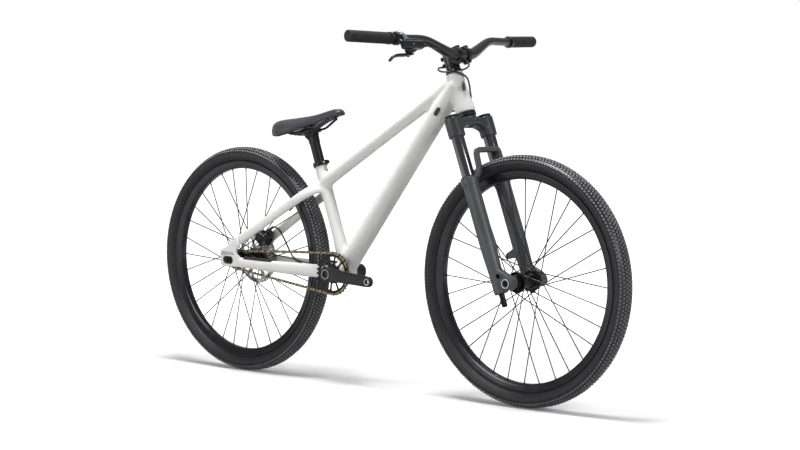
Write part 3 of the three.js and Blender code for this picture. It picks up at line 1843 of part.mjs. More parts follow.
function shellRing([along, spread, top, edge]) {
  const out = (saddleWidth / 2) * spread * shellShare;
  const high = saddleCrownHeight * top;
  const low = saddleCrownHeight * edge;
  const under = mix(low, high, underEdgeShare) - seatGap;
  const corners = [
    [out, under],
    [-out, under],
    [-out, under - shellThickness],
    [out, under - shellThickness],
  ];
  return corners.map(([aside, up]) => vector(saddleLength * along, aside, up));
}

function addSeat() {
  add(post, "seat_clamp", seatClamp(), "anodised");
  const radius = seatpostDiameter / 2;
  const bottom = -seatTubeLength() * seatpostDepthShare;
  const pipeBore = seatpostDiameter - 2 * seatpostWall;
  const pipe = tube(seatpostDiameter, pipeBore, bottom, seatpostExposed);
  const cap = upright(seatpostDiameter, seatpostExposed - radius / 2, seatpostExposed + radius / 2);
  const cradle = acrossRod(vector(-cradleBack, 0, cradleRise), cradleDiameter, cradleWidth);
  const inPost = (geometry) => {
    saddle.updateMatrix();
    return geometry.clone().applyMatrix4(saddle.matrix);
  };
  const rails = [1, -1].map((side) => inPost(railLine(side, seatGap)));
  const upperRoom = inPost(block(
    vector(-clampPlateLength, -cradleWidth, 0),
    vector(clampPlateLength, cradleWidth, cradleDiameter),
  ));
  add(post, "seatpost", cut(join(pipe, cap, cradle), ...rails, upperRoom), "anodised");
  const plateLow = vector(-clampPlateLength / 2, -cradleWidth / 2, seatGap);
  const plateHigh = vector(clampPlateLength / 2, cradleWidth / 2, clampPlateHeight);
  const guides = [1, -1].map((side) => railLine(side, seatGap));
  add(saddle, "rail_clamp", cut(block(plateLow, plateHigh), ...guides), "anodised");
  add(saddle, "saddle_rail_left", railLine(1), "steel");
  add(saddle, "saddle_rail_right", railLine(-1), "steel");
  const shellBody = loft(saddleShares.slice(1, -1).map(shellRing));
  add(saddle, "saddle_shell", cut(shellBody, ...guides), "plastic");
  const cushion = cut(loft(saddleShares.map(saddleRing)), ...guides);
  add(saddle, "saddle_cushion", cushion, "cushionCover");
}

// Rear brake: caliper over the rotor's upper edge, inside the left stays
const caliperAngle = 65;
const caliperRadius = 68;
const caliperLength = 58;
const caliperTall = 36;
const caliperInner = 35;
const caliperOuter = 61;
const padThickness = 3;
const padGap = 0.5;
const padLength = 26;
const padTall = 16;
const mountBoss = 11;
const mountBossUp = 49;
const mountBossRear = 18;
const mountBossFront = 38;

// Caliper outline as shares of half its length and half its height
const caliperShares = [
  [-1, -0.4],
  [-0.6, -1],
  [0.6, -1],
  [1, -0.4],
  [1, 0.5],
  [0.7, 1],
  [-0.7, 1],
  [-1, 0.5],
];

function addCaliper() {
  const group = new THREE.Group();
  const angle = caliperAngle * degrees;
  const reach = vector(Math.cos(angle), 0, Math.sin(angle)).multiplyScalar(caliperRadius);
  group.position.copy(rearAxle).add(reach);
  group.rotation.y = Math.PI / 2 - angle;
  bike.add(group);
  const long = caliperLength / 2;
  const tall = caliperTall / 2;
  const outline = shapeOf(caliperShares.map(([ahead, up]) => [long * ahead, tall * up]));
  const half = rotorThickness / 2 + padGap + padThickness + seatGap;
  const body = plate(outline, caliperInner, caliperOuter);
  const slot = block(
    vector(-caliperLength, rotorPlane - half, -caliperTall),
    vector(caliperLength, rotorPlane + half, rotorDiameter / 2 - caliperRadius + rotorThickness),
  );
  const toGroup = (ahead, up) => {
    const at = vector(ahead, 0, up).sub(reach);
    return at.applyAxisAngle(alongY, angle - Math.PI / 2);
  };
  const bosses = [mountBossRear, mountBossFront].map((ahead) => {
    const at = toGroup(ahead, mountBossUp);
    const from = at.clone().setY(caliperOuter - seatGap);
    return rod(from, at.clone().setY(dropoutSpacing / 2 - seatGap), mountBoss);
  });
  add(group, "brake_caliper", join(cut(body, slot), ...bosses), "anodised");
  const pad = (side) => {
    const near = rotorPlane + side * (rotorThickness / 2 + padGap);
    const far = near + side * padThickness;
    return block(
      vector(-padLength / 2, Math.min(near, far), -padTall / 2),
      vector(padLength / 2, Math.max(near, far), padTall / 2),
    );
  };
  add(group, "brake_pad_outer", pad(1), "steel");
  add(group, "brake_pad_inner", pad(-1), "steel");
}

// Rear hose, from the caliper over to the chainstay's inner face; places from the rear axle
const rearHoseRoute = [
  [47, 54, 88],
  [66, 53.5, 97],
  [89, 53.5, 90],
  [110, 54, 66],
  [128, 54.5, 38],
  [146, 54, 14],
  [166, 51.5, 0],
  [184, 50.5, -5],
];
const hoseEntry = [192, 58, -6];

function rearHosePoints() {
  return [...rearHoseRoute, hoseEntry].map(([ahead, aside, up]) =>
    vector(ahead, aside, up).add(rearAxle),
  );
}

function rearHose(grow = 0) {
  const points = rearHosePoints();
  const length = new THREE.CatmullRomCurve3(points).getLength();
  return hose(points, hoseDiameter + 2 * grow, Math.round(length / hosePitch));
}

addFrame();
addFrontWheel();
addRearWheel();
addRearAxle();
addCranks();
add(bike, "chain", chain(), "chainGold");
addHeadset();
addFork();
addStem();
addBar();
addLever();
addSeat();
addCaliper();
add(bike, "rear_brake_hose", rearHose(), "hoseBlack");

export default bike;
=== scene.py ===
from math import atan2, cos, pi, radians, sin, sqrt, tau

import bpy
import bmesh
from mathutils import Matrix, Vector


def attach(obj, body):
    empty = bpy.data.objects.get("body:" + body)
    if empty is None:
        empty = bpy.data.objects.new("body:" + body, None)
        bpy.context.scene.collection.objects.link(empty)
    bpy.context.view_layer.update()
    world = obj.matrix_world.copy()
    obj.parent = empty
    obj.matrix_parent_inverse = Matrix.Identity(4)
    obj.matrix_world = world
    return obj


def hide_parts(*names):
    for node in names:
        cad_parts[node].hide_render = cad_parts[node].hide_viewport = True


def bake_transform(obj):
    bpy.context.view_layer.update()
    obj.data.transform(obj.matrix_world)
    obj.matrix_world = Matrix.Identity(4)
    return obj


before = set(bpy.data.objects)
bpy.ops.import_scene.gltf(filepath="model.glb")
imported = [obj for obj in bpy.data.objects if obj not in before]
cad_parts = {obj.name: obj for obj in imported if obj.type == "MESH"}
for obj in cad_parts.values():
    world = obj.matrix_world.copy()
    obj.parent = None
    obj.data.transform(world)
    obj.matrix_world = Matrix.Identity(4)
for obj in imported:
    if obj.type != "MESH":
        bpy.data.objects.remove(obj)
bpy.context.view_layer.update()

# The studio: a plain white floor that fades into a white surround, soft panels above, beside and
# ahead, and the camera low on the bike's right, ahead of the front wheel.
mm = 0.001
camera_place = (3.6547, -4.0820, 0.8550)
camera_azimuth = 2.2885
camera_tilt = -0.07
camera_roll = 0.0013


def put(tree, kind, inputs=None, **settings):
    """A node with its settings and inputs; an input may be a value, a socket or another node."""
    made = tree.nodes.new(kind)
    for key, value in settings.items():
        setattr(made, key, value)
    for key, value in (inputs or {}).items():
        if isinstance(value, bpy.types.Node):
            value = value.outputs[0]
        if isinstance(value, bpy.types.NodeSocket):
            tree.links.new(value, made.inputs[key])
        else:
            made.inputs[key].default_value = value
    return made


def tone(code):
    """A colour as the renderer adds light, from the code that a screen shows."""
    parts = [int(code[i:i + 2], 16) / 255 for i in (1, 3, 5)]
    return [p / 12.92 if p < 0.04045 else ((p + 0.055) / 1.055) ** 2.4 for p in parts] + [1.0]


def placed(name, data):
    """A new object in the scene that shows a mesh, a curve, a lamp or the camera."""
    obj = bpy.data.objects.new(name, data)
    bpy.context.scene.collection.objects.link(obj)
    return obj


camera_data = bpy.data.cameras.new("camera")
camera_data.lens = 85.82
camera_data.sensor_width = 36
camera_data.clip_end = 100
camera = placed("camera", camera_data)
ahead = Vector((
    cos(camera_tilt) * cos(camera_azimuth),
    cos(camera_tilt) * sin(camera_azimuth),
    sin(camera_tilt),
))
look = ahead.to_track_quat("-Z", "Y").to_matrix().to_4x4()
camera.matrix_world = Matrix.Translation(camera_place) @ look @ Matrix.Rotation(camera_roll, 4, "Z")
bpy.context.scene.camera = camera
bpy.context.scene.view_settings.view_transform = "Standard"


def seen_white(tree, lit, strength):
    """Adds plain white for what the camera, glass and gloss see, over what the lamps give."""
    path = put(tree, "ShaderNodeLightPath")
    glossy = put(tree, "ShaderNodeMath", {
        0: path.outputs["Is Camera Ray"],
        1: path.outputs["Is Glossy Ray"],
    }, operation="ADD")
    seen = put(tree, "ShaderNodeMath", {
        0: glossy,
        1: path.outputs["Is Transmission Ray"],
    }, operation="ADD", use_clamp=True)
    share = put(tree, "ShaderNodeMath", {0: seen, 1: strength}, operation="MULTIPLY")
    white = put(tree, "ShaderNodeEmission", {"Color": (1, 1, 1, 1), "Strength": share})
    return put(tree, "ShaderNodeAddShader", {0: lit, 1: white})


floor_mesh = bpy.data.meshes.new("studio_floor")
floor_mesh.from_pydata([(-30, -30, 0), (30, -30, 0), (30, 30, 0), (-30, 30, 0)], [], [(0, 1, 2, 3)])
studio_floor = placed("studio_floor", floor_mesh)
floor_paint = bpy.data.materials.new("floor_paint")
floor_paint.use_nodes = True
floor_tree = floor_paint.node_tree
floor_tree.nodes.clear()
floor_path = put(floor_tree, "ShaderNodeLightPath")
floor_tone = put(floor_tree, "ShaderNodeMapRange", {
    "Value": floor_path.outputs["Is Camera Ray"], "To Min": 0.36, "To Max": 0.8,
})
floor_matt = put(floor_tree, "ShaderNodeBsdfDiffuse", {"Color": floor_tone.outputs[0]})
floor_place = put(floor_tree, "ShaderNodeTexCoord").outputs["Object"]
floor_reach = put(floor_tree, "ShaderNodeVectorMath", {0: floor_place}, operation="LENGTH")
floor_white = put(floor_tree, "ShaderNodeMapRange", {
    "Value": floor_reach.outputs["Value"], "From Min": 1.0, "From Max": 2.6,
    "To Min": 0.08, "To Max": 1.0,
})
floor_seen = seen_white(floor_tree, floor_matt, floor_white.outputs[0])
put(floor_tree, "ShaderNodeOutputMaterial", {"Surface": floor_seen})
floor_mesh.materials.append(floor_paint)

world = bpy.data.worlds.new("studio")
bpy.context.scene.world = world
world.use_nodes = True
sky = world.node_tree
sky.nodes.clear()
sky_path = put(sky, "ShaderNodeLightPath")
sky_level = put(sky, "ShaderNodeMapRange", {
    "Value": sky_path.outputs["Is Camera Ray"], "To Min": 0.33, "To Max": 1.0,
})
sky_light = put(sky, "ShaderNodeBackground", {"Color": (1, 1, 1, 1), "Strength": sky_level.outputs[0]})
put(sky, "ShaderNodeOutputWorld", {"Surface": sky_light})


def panel(name, place, target, size, watts):
    """A square soft lamp that faces a point on the bike."""
    data = bpy.data.lights.new(name, "AREA")
    data.shape = "SQUARE"
    data.size = size
    data.energy = watts
    lamp = placed(name, data)
    lamp.location = place
    lamp.rotation_euler = (Vector(target) - Vector(place)).to_track_quat("-Z", "Y").to_euler()


panel("overhead_panel", (0.0, -0.4, 3.6), (0, 0, 0.4), 1.3, 148)
panel("side_panel", (-1.4, -3.8, 1.7), (0, 0, 0.5), 1.1, 42)
panel("front_panel", (4.2, -0.4, 1.9), (0.3, 0, 0.5), 1.1, 48)


# The two brake hoses are smooth black nylon over a liner, 5 mm thick. The front one winds once
# round the steering column, so that the bar can turn right round, and enters the down tube.
# The rear one leaves the caliper, curves over and enters the left chainstay.
steer_up = Vector((-0.346936, 0, 0.937889))
steer_ahead = Vector((0.937889, 0, 0.346936))
head_bottom = Vector((331.156, 0, 795.703))
rear_axle = Vector((-537, 0, 343))
front_axle = Vector((537, 0, 343))
hose_width = 5.0
to_metres = Matrix.Diagonal((mm, mm, mm, 1))


def frame_at(origin, x_way=(1, 0, 0), y_way=(0, 1, 0)):
    """The place of a local frame in millimetres, with its X and Y along the given ways."""
    x_way = Vector(x_way).normalized()
    y_way = Vector(y_way).normalized()
    turn = Matrix((x_way, y_way, x_way.cross(y_way))).transposed().to_4x4()
    return to_metres @ Matrix.Translation(origin) @ turn


bike = frame_at((0, 0, 0))
steer = frame_at(head_bottom, steer_ahead)
rear_wheel_place = frame_at(rear_axle, (1, 0, 0), (0, 0, -1))
front_wheel_place = frame_at(front_axle, (1, 0, 0), (0, 0, -1))


def noise(tree, where, scale, detail=3.0, stretch=(1, 1, 1)):
    along = put(tree, "ShaderNodeMapping", {"Vector": where, "Scale": stretch})
    return put(tree, "ShaderNodeTexNoise", {
        "Vector": along, "Scale": scale, "Detail": detail, "Roughness": 0.6,
    })


def surface(name, dark, light, rough, metal=0.0, clouds=14, grain=1500, relief=0.08,
            stretch=(1, 1, 1), coat=0.0, sheen=0.0, spots=None):
    """A finish whose colour drifts between two tones, with fine grain and uneven gloss."""
    material = bpy.data.materials.new(name)
    material.use_nodes = True
    tree = material.node_tree
    tree.nodes.clear()
    where = put(tree, "ShaderNodeTexCoord").outputs["Object"]
    drift = noise(tree, where, clouds, 4.0, stretch)
    colours = put(tree, "ShaderNodeValToRGB", {"Fac": drift})
    ramp = colours.color_ramp
    ramp.elements[0].position, ramp.elements[1].position = 0.32, 0.68
    ramp.elements[0].color, ramp.elements[1].color = tone(dark), tone(light)
    fine = noise(tree, where, grain, 2.0, stretch)
    uneven = put(tree, "ShaderNodeMapRange", {
        "Value": noise(tree, where, clouds * 5, 3.0, stretch), "From Min": 0.3, "From Max": 0.7,
        "To Min": rough[0], "To Max": rough[1],
    })
    bump = put(tree, "ShaderNodeBump", {"Height": fine, "Strength": relief, "Distance": 0.0004})
    colour = colours.outputs[0]
    if spots:
        spot_code, spot_scale, spot_reach = spots
        speck = put(tree, "ShaderNodeTexVoronoi", {"Vector": where, "Scale": spot_scale})
        near = put(tree, "ShaderNodeMapRange", {
            "Value": speck.outputs["Distance"], "From Min": 0.0, "From Max": spot_reach,
            "To Min": 1.0, "To Max": 0.0,
        })
        mixed = put(tree, "ShaderNodeMix", {0: near, 6: colour, 7: tone(spot_code)},
                    data_type="RGBA")
        colour = mixed.outputs[2]
    shader = put(tree, "ShaderNodeBsdfPrincipled", {
        "Base Color": colour, "Roughness": uneven.outputs[0], "Normal": bump.outputs[0],
        "Metallic": metal, "Coat Weight": coat, "Coat Roughness": 0.15, "Sheen Weight": sheen,
    })
    put(tree, "ShaderNodeOutputMaterial", {"Surface": shader})
    return material


def flowing(points, steps):
    """Rows of numbers between the given rows, on one smooth curve through all of them."""
    rows = [list(points[0])] + [list(p) for p in points] + [list(points[-1])]
    made = []
    for i in range(1, len(rows) - 2):
        a, b, c, d = rows[i - 1:i + 3]
        for s in range(steps):
            t = s / steps
            made.append([
                0.5 * (2 * q + (r - p) * t + (2 * p - 5 * q + 4 * r - e) * t * t
                       + (3 * q - p - 3 * r + e) * t ** 3)
                for p, q, r, e in zip(a, b, c, d)
            ])
    made.append(rows[-2])
    return made


def evaluated(obj):
    """The plain mesh that an object's curve or modifiers give."""
    bpy.context.view_layer.update()
    graph = bpy.context.evaluated_depsgraph_get()
    return bpy.data.meshes.new_from_object(obj.evaluated_get(graph))


def hose_piece(name, points, stands_for):
    """A round hose on one smooth line through the given points, which are in metres."""
    line = [Vector(p) for p in flowing(points, 6)]
    curve = bpy.data.curves.new(name, "CURVE")
    curve.dimensions = "3D"
    curve.bevel_depth = hose_width / 2 * mm
    curve.bevel_resolution = 4
    curve.use_fill_caps = True
    spline = curve.splines.new("POLY")
    spline.points.add(len(line) - 1)
    for point, at in zip(spline.points, line):
        point.co = (*at, 1)
    guide = placed("guide", curve)
    mesh = evaluated(guide)
    bpy.data.objects.remove(guide)
    mesh.name = name
    mesh.shade_smooth()
    mesh.materials.clear()
    mesh.materials.append(hose_nylon)
    hose = placed(name, mesh)
    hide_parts(stands_for)
    return hose


hose_nylon = surface("hose_nylon", "#141415", "#1c1c1e", (0.34, 0.48), clouds=30, grain=1400)
front_hose_route = [
    (50.35, -164.6, 177.28), (51, -100, 166), (58, -70, 155.6), (64.5, -40, 142),
    (60, -10, 129), (40.4, 20, 124.8), (15.7, 35, 125), (-2.5, 36, 127.5),
    (-17, 32, 134), (-32, 15, 145), (-36.5, -10, 146), (-34, -22, 141),
    (-24, -32, 132), (-10, -38, 124), (8, -36, 117), (22.4, -25, 112),
    (29, -10, 105), (29, 10, 92.9), (23, 20, 74.6), (14, 27, 57.4),
    (6.5, 32, 41.5), (-10, 35, 29), (-35, 36, 25), (-58, 37, 28), (-75, 28, 31),
]
front_hose_points = [steer @ Vector(p) for p in front_hose_route]
front_hose = hose_piece("brake_hose_front_run", front_hose_points, "front_brake_hose")
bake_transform(front_hose)
rear_hose_route = [
    (47, 54, 88), (66, 53.5, 97), (89, 53.5, 90), (110, 54, 66), (128, 54.5, 38),
    (146, 54, 14), (166, 51.5, 0), (184, 50.5, -5), (192, 58, -6),
]
rear_hose_points = [(rear_axle + Vector(p)) * mm for p in rear_hose_route]
rear_hose = hose_piece("brake_hose_rear_run", rear_hose_points, "rear_brake_hose")
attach(rear_hose, "frame")


# The frame is welded aluminium with smoothed joints, powder coated a warm white: head tube,
# down, top and seat tubes, bottom bracket shell, two chainstays, two seatstays and two forged
# dropouts with long slots. It is made as one casting of the tubes, then softened at the welds.
bottom_bracket = Vector((-129.269, 0, 325))
seat_up = Vector((-0.335452, 0, 0.942057))
seat_base = bottom_bracket + Vector((20, 0, 0))


def lathe(profile, segments=64):
    """A skin turned about local Z from [radius, height] points; a loop if its ends meet."""
    closed = profile[0] == profile[-1]
    rows = profile[:-1] if closed else profile
    corners, rings = [], []
    for radius, height in rows:
        if radius == 0:
            rings.append([len(corners)] * segments)
            corners.append(Vector((0, 0, height)))
            continue
        rings.append(list(range(len(corners), len(corners) + segments)))
        corners += [
            Vector((radius * cos(tau * k / segments), radius * sin(tau * k / segments), height))
            for k in range(segments)
        ]
    faces = []
    pairs = list(zip(rings, rings[1:])) + ([(rings[-1], rings[0])] if closed else [])
    for a, b in pairs:
        for i in range(segments):
            j = (i + 1) % segments
            face = list(dict.fromkeys([a[i], a[j], b[j], b[i]]))
            if len(face) > 2:
                faces.append(face)
    return corners, faces


def loft(rings, loop=False):
    """A skin over rings with the same number of corners, closed at its ends by flat caps."""
    count = len(rings[0])
    corners = [corner for ring in rings for corner in ring]
    faces = []
    for r in range(len(rings) if loop else len(rings) - 1):
        here, there = r * count, (r + 1) % len(rings) * count
        faces += [
            [here + i, here + (i + 1) % count, there + (i + 1) % count, there + i]
            for i in range(count)
        ]
    if not loop:
        last = (len(rings) - 1) * count
        faces += [list(range(count))[::-1], list(range(last, last + count))]
    return corners, faces


def oval(centre, side, rise, wide, tall, sides=32, power=2.0):
    ring = []
    for i in range(sides):
        angle = tau * (i + 0.5) / sides
        across, up = cos(angle), sin(angle)
        across = (1 if across > 0 else -1) * abs(across) ** (2 / power)
        up = (1 if up > 0 else -1) * abs(up) ** (2 / power)
        ring.append(centre + side * (wide / 2 * across) + rise * (tall / 2 * up))
    return ring


def swept(rows, sides=32, level=(0, 1, 0), power=2.0, steps=6, dome=0.0):
    """A tube through rows of x, y, z, width, height; a dome rounds both ends by that depth."""
    smooth = flowing(rows, steps) if steps > 1 else [list(row) for row in rows]
    middle = [Vector(row[:3]) for row in smooth]
    level = Vector(level)
    rings = []
    for i, row in enumerate(smooth):
        along = (middle[min(i + 1, len(middle) - 1)] - middle[max(i - 1, 0)]).normalized()
        side = (level - along * level.dot(along)).normalized()
        rise = along.cross(side)
        cuts = [(0, 1)]
        if dome and i in (0, len(smooth) - 1):
            way = -1 if i == 0 else 1
            cuts = [(way * dome * sin(a), cos(a)) for a in (0, 0.4, 0.8, 1.15, 1.4)]
            cuts = cuts[::-1] if i == 0 else cuts
        for out, share in cuts:
            rings.append(oval(middle[i] + along * out, side, rise,
                              row[3] * share, row[4] * share, sides, power))
    return loft(rings)


def rod(start, end, width, sides=32):
    start, end = Vector(start), Vector(end)
    level = (1, 0, 0) if abs((end - start).normalized().y) > 0.7 else (0, 1, 0)
    return swept([(*start, width, width), (*end, width, width)], sides, level, steps=1)


def rounded(points, radius, steps=5):
    """The same outline with each corner cut to an arc; a point may give its own radius last."""
    made = []
    count = len(points)
    for i in range(count):
        here = Vector(points[i][:2])
        size = points[i][2] if len(points[i]) > 2 else radius
        before, after = (Vector(points[(i + k) % count][:2]) - here for k in (-1, 1))
        reach = min(size, before.length * 0.49, after.length * 0.49)
        a, b = here + before.normalized() * reach, here + after.normalized() * reach
        for s in range(steps + 1):
            t = s / steps
            made.append(tuple(a * (1 - t) ** 2 + here * (2 * t * (1 - t)) + b * t * t))
    return made


def ring_points(radius, count, start=0.0, turn=tau, centre=(0, 0)):
    return [
        (centre[0] + radius * cos(start + turn * k / count),
         centre[1] + radius * sin(start + turn * k / count))
        for k in range(count)
    ]


def slot_shape(end, run, steps=14):
    """A long hole's outline: two half circles, whose centres lie at that run from the middle."""
    front = ring_points(end, steps, -pi / 2, pi, (run, 0))
    return front + ring_points(end, steps, pi / 2, pi, (-run, 0))


def barrel_shape(radius, low, high, bevel=0.0):
    """The profile of a solid round bar for a lathe, with bevelled ends if asked."""
    if not bevel:
        return [(0, low), (radius, low), (radius, high), (0, high)]
    return [(0, low), (radius - bevel, low), (radius, low + bevel), (radius, high - bevel),
            (radius - bevel, high), (0, high)]


def plate(outline, low, high, bevel=0.0, holes=(), flat_xz=True):
    """A flat plate with softened edges; its outline is in local X and Z, or in X and Y."""
    curve = bpy.data.curves.new("outline", "CURVE")
    curve.dimensions = "2D"
    curve.fill_mode = "BOTH"
    curve.extrude = (high - low) / 2 - bevel
    curve.bevel_depth = bevel
    curve.bevel_resolution = 2
    curve.offset = -bevel
    for points in (outline, *holes):
        spline = curve.splines.new("POLY")
        spline.points.add(len(points) - 1)
        spline.use_cyclic_u = True
        for point, at in zip(spline.points, points):
            point.co = (at[0], at[1], 0, 1)
    obj = placed("outline", curve)
    mesh = evaluated(obj)
    middle = (low + high) / 2
    corners = [
        Vector((v.co.x, middle - v.co.z, v.co.y)) if flat_xz else v.co + Vector((0, 0, middle))
        for v in mesh.vertices
    ]
    faces = [list(face.vertices) for face in mesh.polygons]
    bpy.data.meshes.remove(mesh)
    bpy.data.objects.remove(obj)
    return corners, faces


def turned_by(skin, place):
    return [place @ corner for corner in skin[0]], skin[1]


def mirrored(skin):
    return [Vector((c.x, -c.y, c.z)) for c in skin[0]], [list(face)[::-1] for face in skin[1]]


def mesh_of(name, skins):
    """Skins as one mesh with shared corners and faces turned outwards."""
    corners, faces = [], []
    for skin_corners, skin_faces in skins:
        start = len(corners)
        corners += [tuple(corner) for corner in skin_corners]
        faces += [[start + i for i in face] for face in skin_faces]
    mesh = bpy.data.meshes.new(name)
    mesh.from_pydata(corners, [], faces)
    work = bmesh.new()
    work.from_mesh(mesh)
    bmesh.ops.remove_doubles(work, verts=work.verts, dist=0.0005)
    bmesh.ops.dissolve_degenerate(work, edges=work.edges, dist=0.0005)
    bmesh.ops.recalc_face_normals(work, faces=work.faces)
    work.to_mesh(mesh)
    work.free()
    return mesh


def cast(name, skins, voxel, fillet=0.0, smooth=6, cuts=()):
    """Skins run together into one casting with rounded inner corners, then drilled and milled."""
    obj = placed(name, mesh_of(name, skins))

    def add(kind, **settings):
        made = obj.modifiers.new(kind.lower(), kind)
        for key, value in settings.items():
            setattr(made, key, value)

    add("REMESH", mode="VOXEL", voxel_size=voxel)
    if fillet:
        add("DISPLACE", strength=fillet, mid_level=0)
        add("REMESH", mode="VOXEL", voxel_size=voxel)
        add("DISPLACE", strength=-fillet, mid_level=0)
    add("SMOOTH", factor=0.5, iterations=smooth)
    cutters = [placed("cutter", mesh_of("cutter", [cut])) for cut in cuts]
    for cutter in cutters:
        add("BOOLEAN", operation="DIFFERENCE", solver="EXACT", object=cutter)
    mesh = evaluated(obj)
    for spent in (obj, *cutters):
        bpy.data.objects.remove(spent)
    corners = [v.co.copy() for v in mesh.vertices]
    faces = [list(face.vertices) for face in mesh.polygons]
    bpy.data.meshes.remove(mesh)
    return corners, faces


def finished(name, skins, body, material, stands_for=(), place=bike, angle=34,
             repeats=0):
    """One piece of the bike from its skins, in its place, and repeated round its axle if asked."""
    mesh = mesh_of(name, skins)
    mesh.materials.append(material)
    if repeats:
        unit = placed("unit", mesh)
        pattern = unit.modifiers.new("pattern", "NODES")
        pattern.node_group = round_the_axle
        sockets = {item.name: item.identifier for item in round_the_axle.interface.items_tree}
        pattern[sockets["Count"]] = repeats
        pattern[sockets["Finish"]] = material
        mesh = evaluated(unit)
        mesh.name = name
        bpy.data.objects.remove(unit)
    mesh.transform(place)
    mesh.shade_smooth()
    mesh.set_sharp_from_angle(angle=radians(angle))
    piece = placed(name, mesh)
    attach(piece, body)
    if stands_for:
        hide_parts(*stands_for)
    return piece


def on_seat_axis(height):
    return seat_base + seat_up * ((height - seat_base.z) / seat_up.z)


def on_steer_axis(rise):
    return head_bottom + steer_up * rise


def straight_tube(start, end, width):
    shares = ((0, 1.08), (0.1, 1.02), (0.5, 1), (0.9, 1.02), (1, 1.08))
    return swept([(*start.lerp(end, t), width * g, width * g) for t, g in shares], 48)


def down_tube_rows(start, end, width):
    """Round below, and pressed flatter from above where it meets the head tube."""
    along = (end - start).normalized()
    over = Vector((-along.z, 0, along.x))
    shares = ((0, 1.08, 1.08), (0.1, 1.02, 1.02), (0.5, 1, 1), (0.82, 1, 1), (0.92, 1.02, 0.88),
              (1, 1.08, 0.74))
    return [(*(start.lerp(end, t) - over * width * max(0, 1 - tall) / 2), width * wide,
             width * tall) for t, wide, tall in shares]


head_tube_outline = [
    (0, 0), (27.4, 0), (28, 0.8), (28, 14), (26.6, 26), (23.8, 50), (21.8, 76),
    (22.4, 92), (24, 104), (24, 116.4), (23.4, 117), (0, 117),
]
chainstay_rows = [
    (0.1, 1, 0.76, 0.55), (0.15, 0.96, 0.78, 0.9), (0.31, 0.87, 0.8, 1), (0.51, 0.65, 0.88, 1),
    (0.7, 0.33, 0.97, 0.8), (0.81, 0.1, 1, 0.46), (0.93, 0, 1, 0.46),
]
seatstay_rows = [
    (0.02, 0.3, 1.1, 1), (0.07, 0.56, 1.05, 1), (0.18, 0.73, 1, 1), (0.45, 0.81, 0.97, 1),
    (0.75, 0.9, 1, 1), (1, 1, 1.05, 0.8),
]


chainstay_near, chainstay_far = 33, 72


def chainstay_line():
    """Rows along the left chainstay, from the dropout to the bottom bracket."""
    made = []
    for along, spread, height, width in chainstay_rows:
        at = rear_axle.lerp(bottom_bracket, along)
        at.y = chainstay_near + (chainstay_far - chainstay_near) * spread
        at.z -= 3 * (1 - along)
        made.append((*at, 18 * width, 41 * height))
    return made


top_tube_joint = 587
seatstay_head = on_seat_axis(top_tube_joint) - Vector((0, 0, 12))
seatstay_foot = rear_axle + Vector((42, 0, 62))
down_tube_joint = 88
seatstay_line = []
for along, spread, height, width in seatstay_rows:
    at = seatstay_head.lerp(seatstay_foot, along)
    at.y = 69 * spread
    seatstay_line.append((*at, 15 * width, 29 * height))
chainstay_left = swept(chainstay_line(), 32, power=2.8)
seatstay_left = swept(seatstay_line, 32, power=2.5)
seat_tube_top = on_seat_axis(646)
seat_tube_rows = [
    (*seat_base.lerp(seat_tube_top, t), 36.5 * g, 36.5 * g)
    for t, g in ((0.07, 1.3), (0.16, 1.16), (0.36, 1), (0.7, 1), (1, 1))
]
tubes = [
    turned_by(lathe(head_tube_outline), Matrix.Translation(head_bottom)
              @ Matrix.Rotation(-radians(20.3), 4, "Y")),
    turned_by(lathe(barrel_shape(25, -36.5, 36.5)), Matrix.Translation(bottom_bracket)
              @ Matrix.Rotation(pi / 2, 4, "X")),
    swept(down_tube_rows(bottom_bracket, on_steer_axis(down_tube_joint), 57), 48),
    straight_tube(on_seat_axis(top_tube_joint), on_steer_axis(96), 38),
    swept(seat_tube_rows, 48),
    chainstay_left, mirrored(chainstay_left), seatstay_left, mirrored(seatstay_left),
]


def weld_edge(across, away):
    """A corner of the dropout where the seatstay's foot is welded on."""
    line = seatstay_head - seatstay_foot
    line.y = 0
    line.normalize()
    foot = seatstay_foot - rear_axle
    return (foot.x - line.z * across + line.x * away, foot.z + line.x * across + line.z * away)


dropout_outline = rounded([
    (-25, -19, 8), (46, -19, 2), (46, 13.3, 3), (37, 16.2, 9), (32.5, 26.6, 8), (37, 38, 3),
    weld_edge(-14.5, 0), weld_edge(14.5, 0), (0, 43.7, 14), (-31, 32.3, 10), (-34, 19, 8),
    (-34, -9, 8),
], 2)
slot_run = 10
slot_outline = slot_shape(12, slot_run)
slot_lip = slot_shape(14.5, slot_run)
dropout_left = plate(dropout_outline, 67.5, 75.9, 1.2, [slot_outline])
slot_rim_left = plate(slot_lip, 69, 76.5, 0.8, [slot_outline])
dropouts = [turned_by(part, Matrix.Translation(rear_axle)) for part in (dropout_left, slot_rim_left)]
dropouts += [mirrored(part) for part in dropouts]
# A thin grey strip above each dropout's slot is painted shade: it stands for the shadow along a groove
# in the white dropout.
groove_shade_strip = plate(rounded([(-29, 15.5), (-26, 27), (22, 25), (28, 16.5)], 2.5), 75.7, 76.6, 0.4)
groove_shade_strip = turned_by(groove_shade_strip, Matrix.Translation(rear_axle))
frame_paint = surface("frame_paint", "#e4e5e1", "#ececea", (0.44, 0.54), clouds=5, relief=0.02,
                      coat=0.08)
welded = cast("welded_frame", tubes, 2.4, fillet=3.4, smooth=32)
finished("frame_weldment", [welded, *dropouts], "frame", frame_paint, [
    "head_tube", "bottom_bracket_shell", "down_tube", "seat_tube", "top_tube", "chainstay_left",
    "chainstay_right", "seatstay_left", "seatstay_right", "dropout_left", "dropout_right",
], angle=50)

# Painted shade: the strips above the slots are grey only to stand for the groove's shadow.
groove_shade_grey = surface("groove_shade_grey", "#a9aaa8", "#b6b7b5", (0.36, 0.46), clouds=20)
finished("dropout_groove_shade", [groove_shade_strip, mirrored(groove_shade_strip)], "frame", groove_shade_grey)

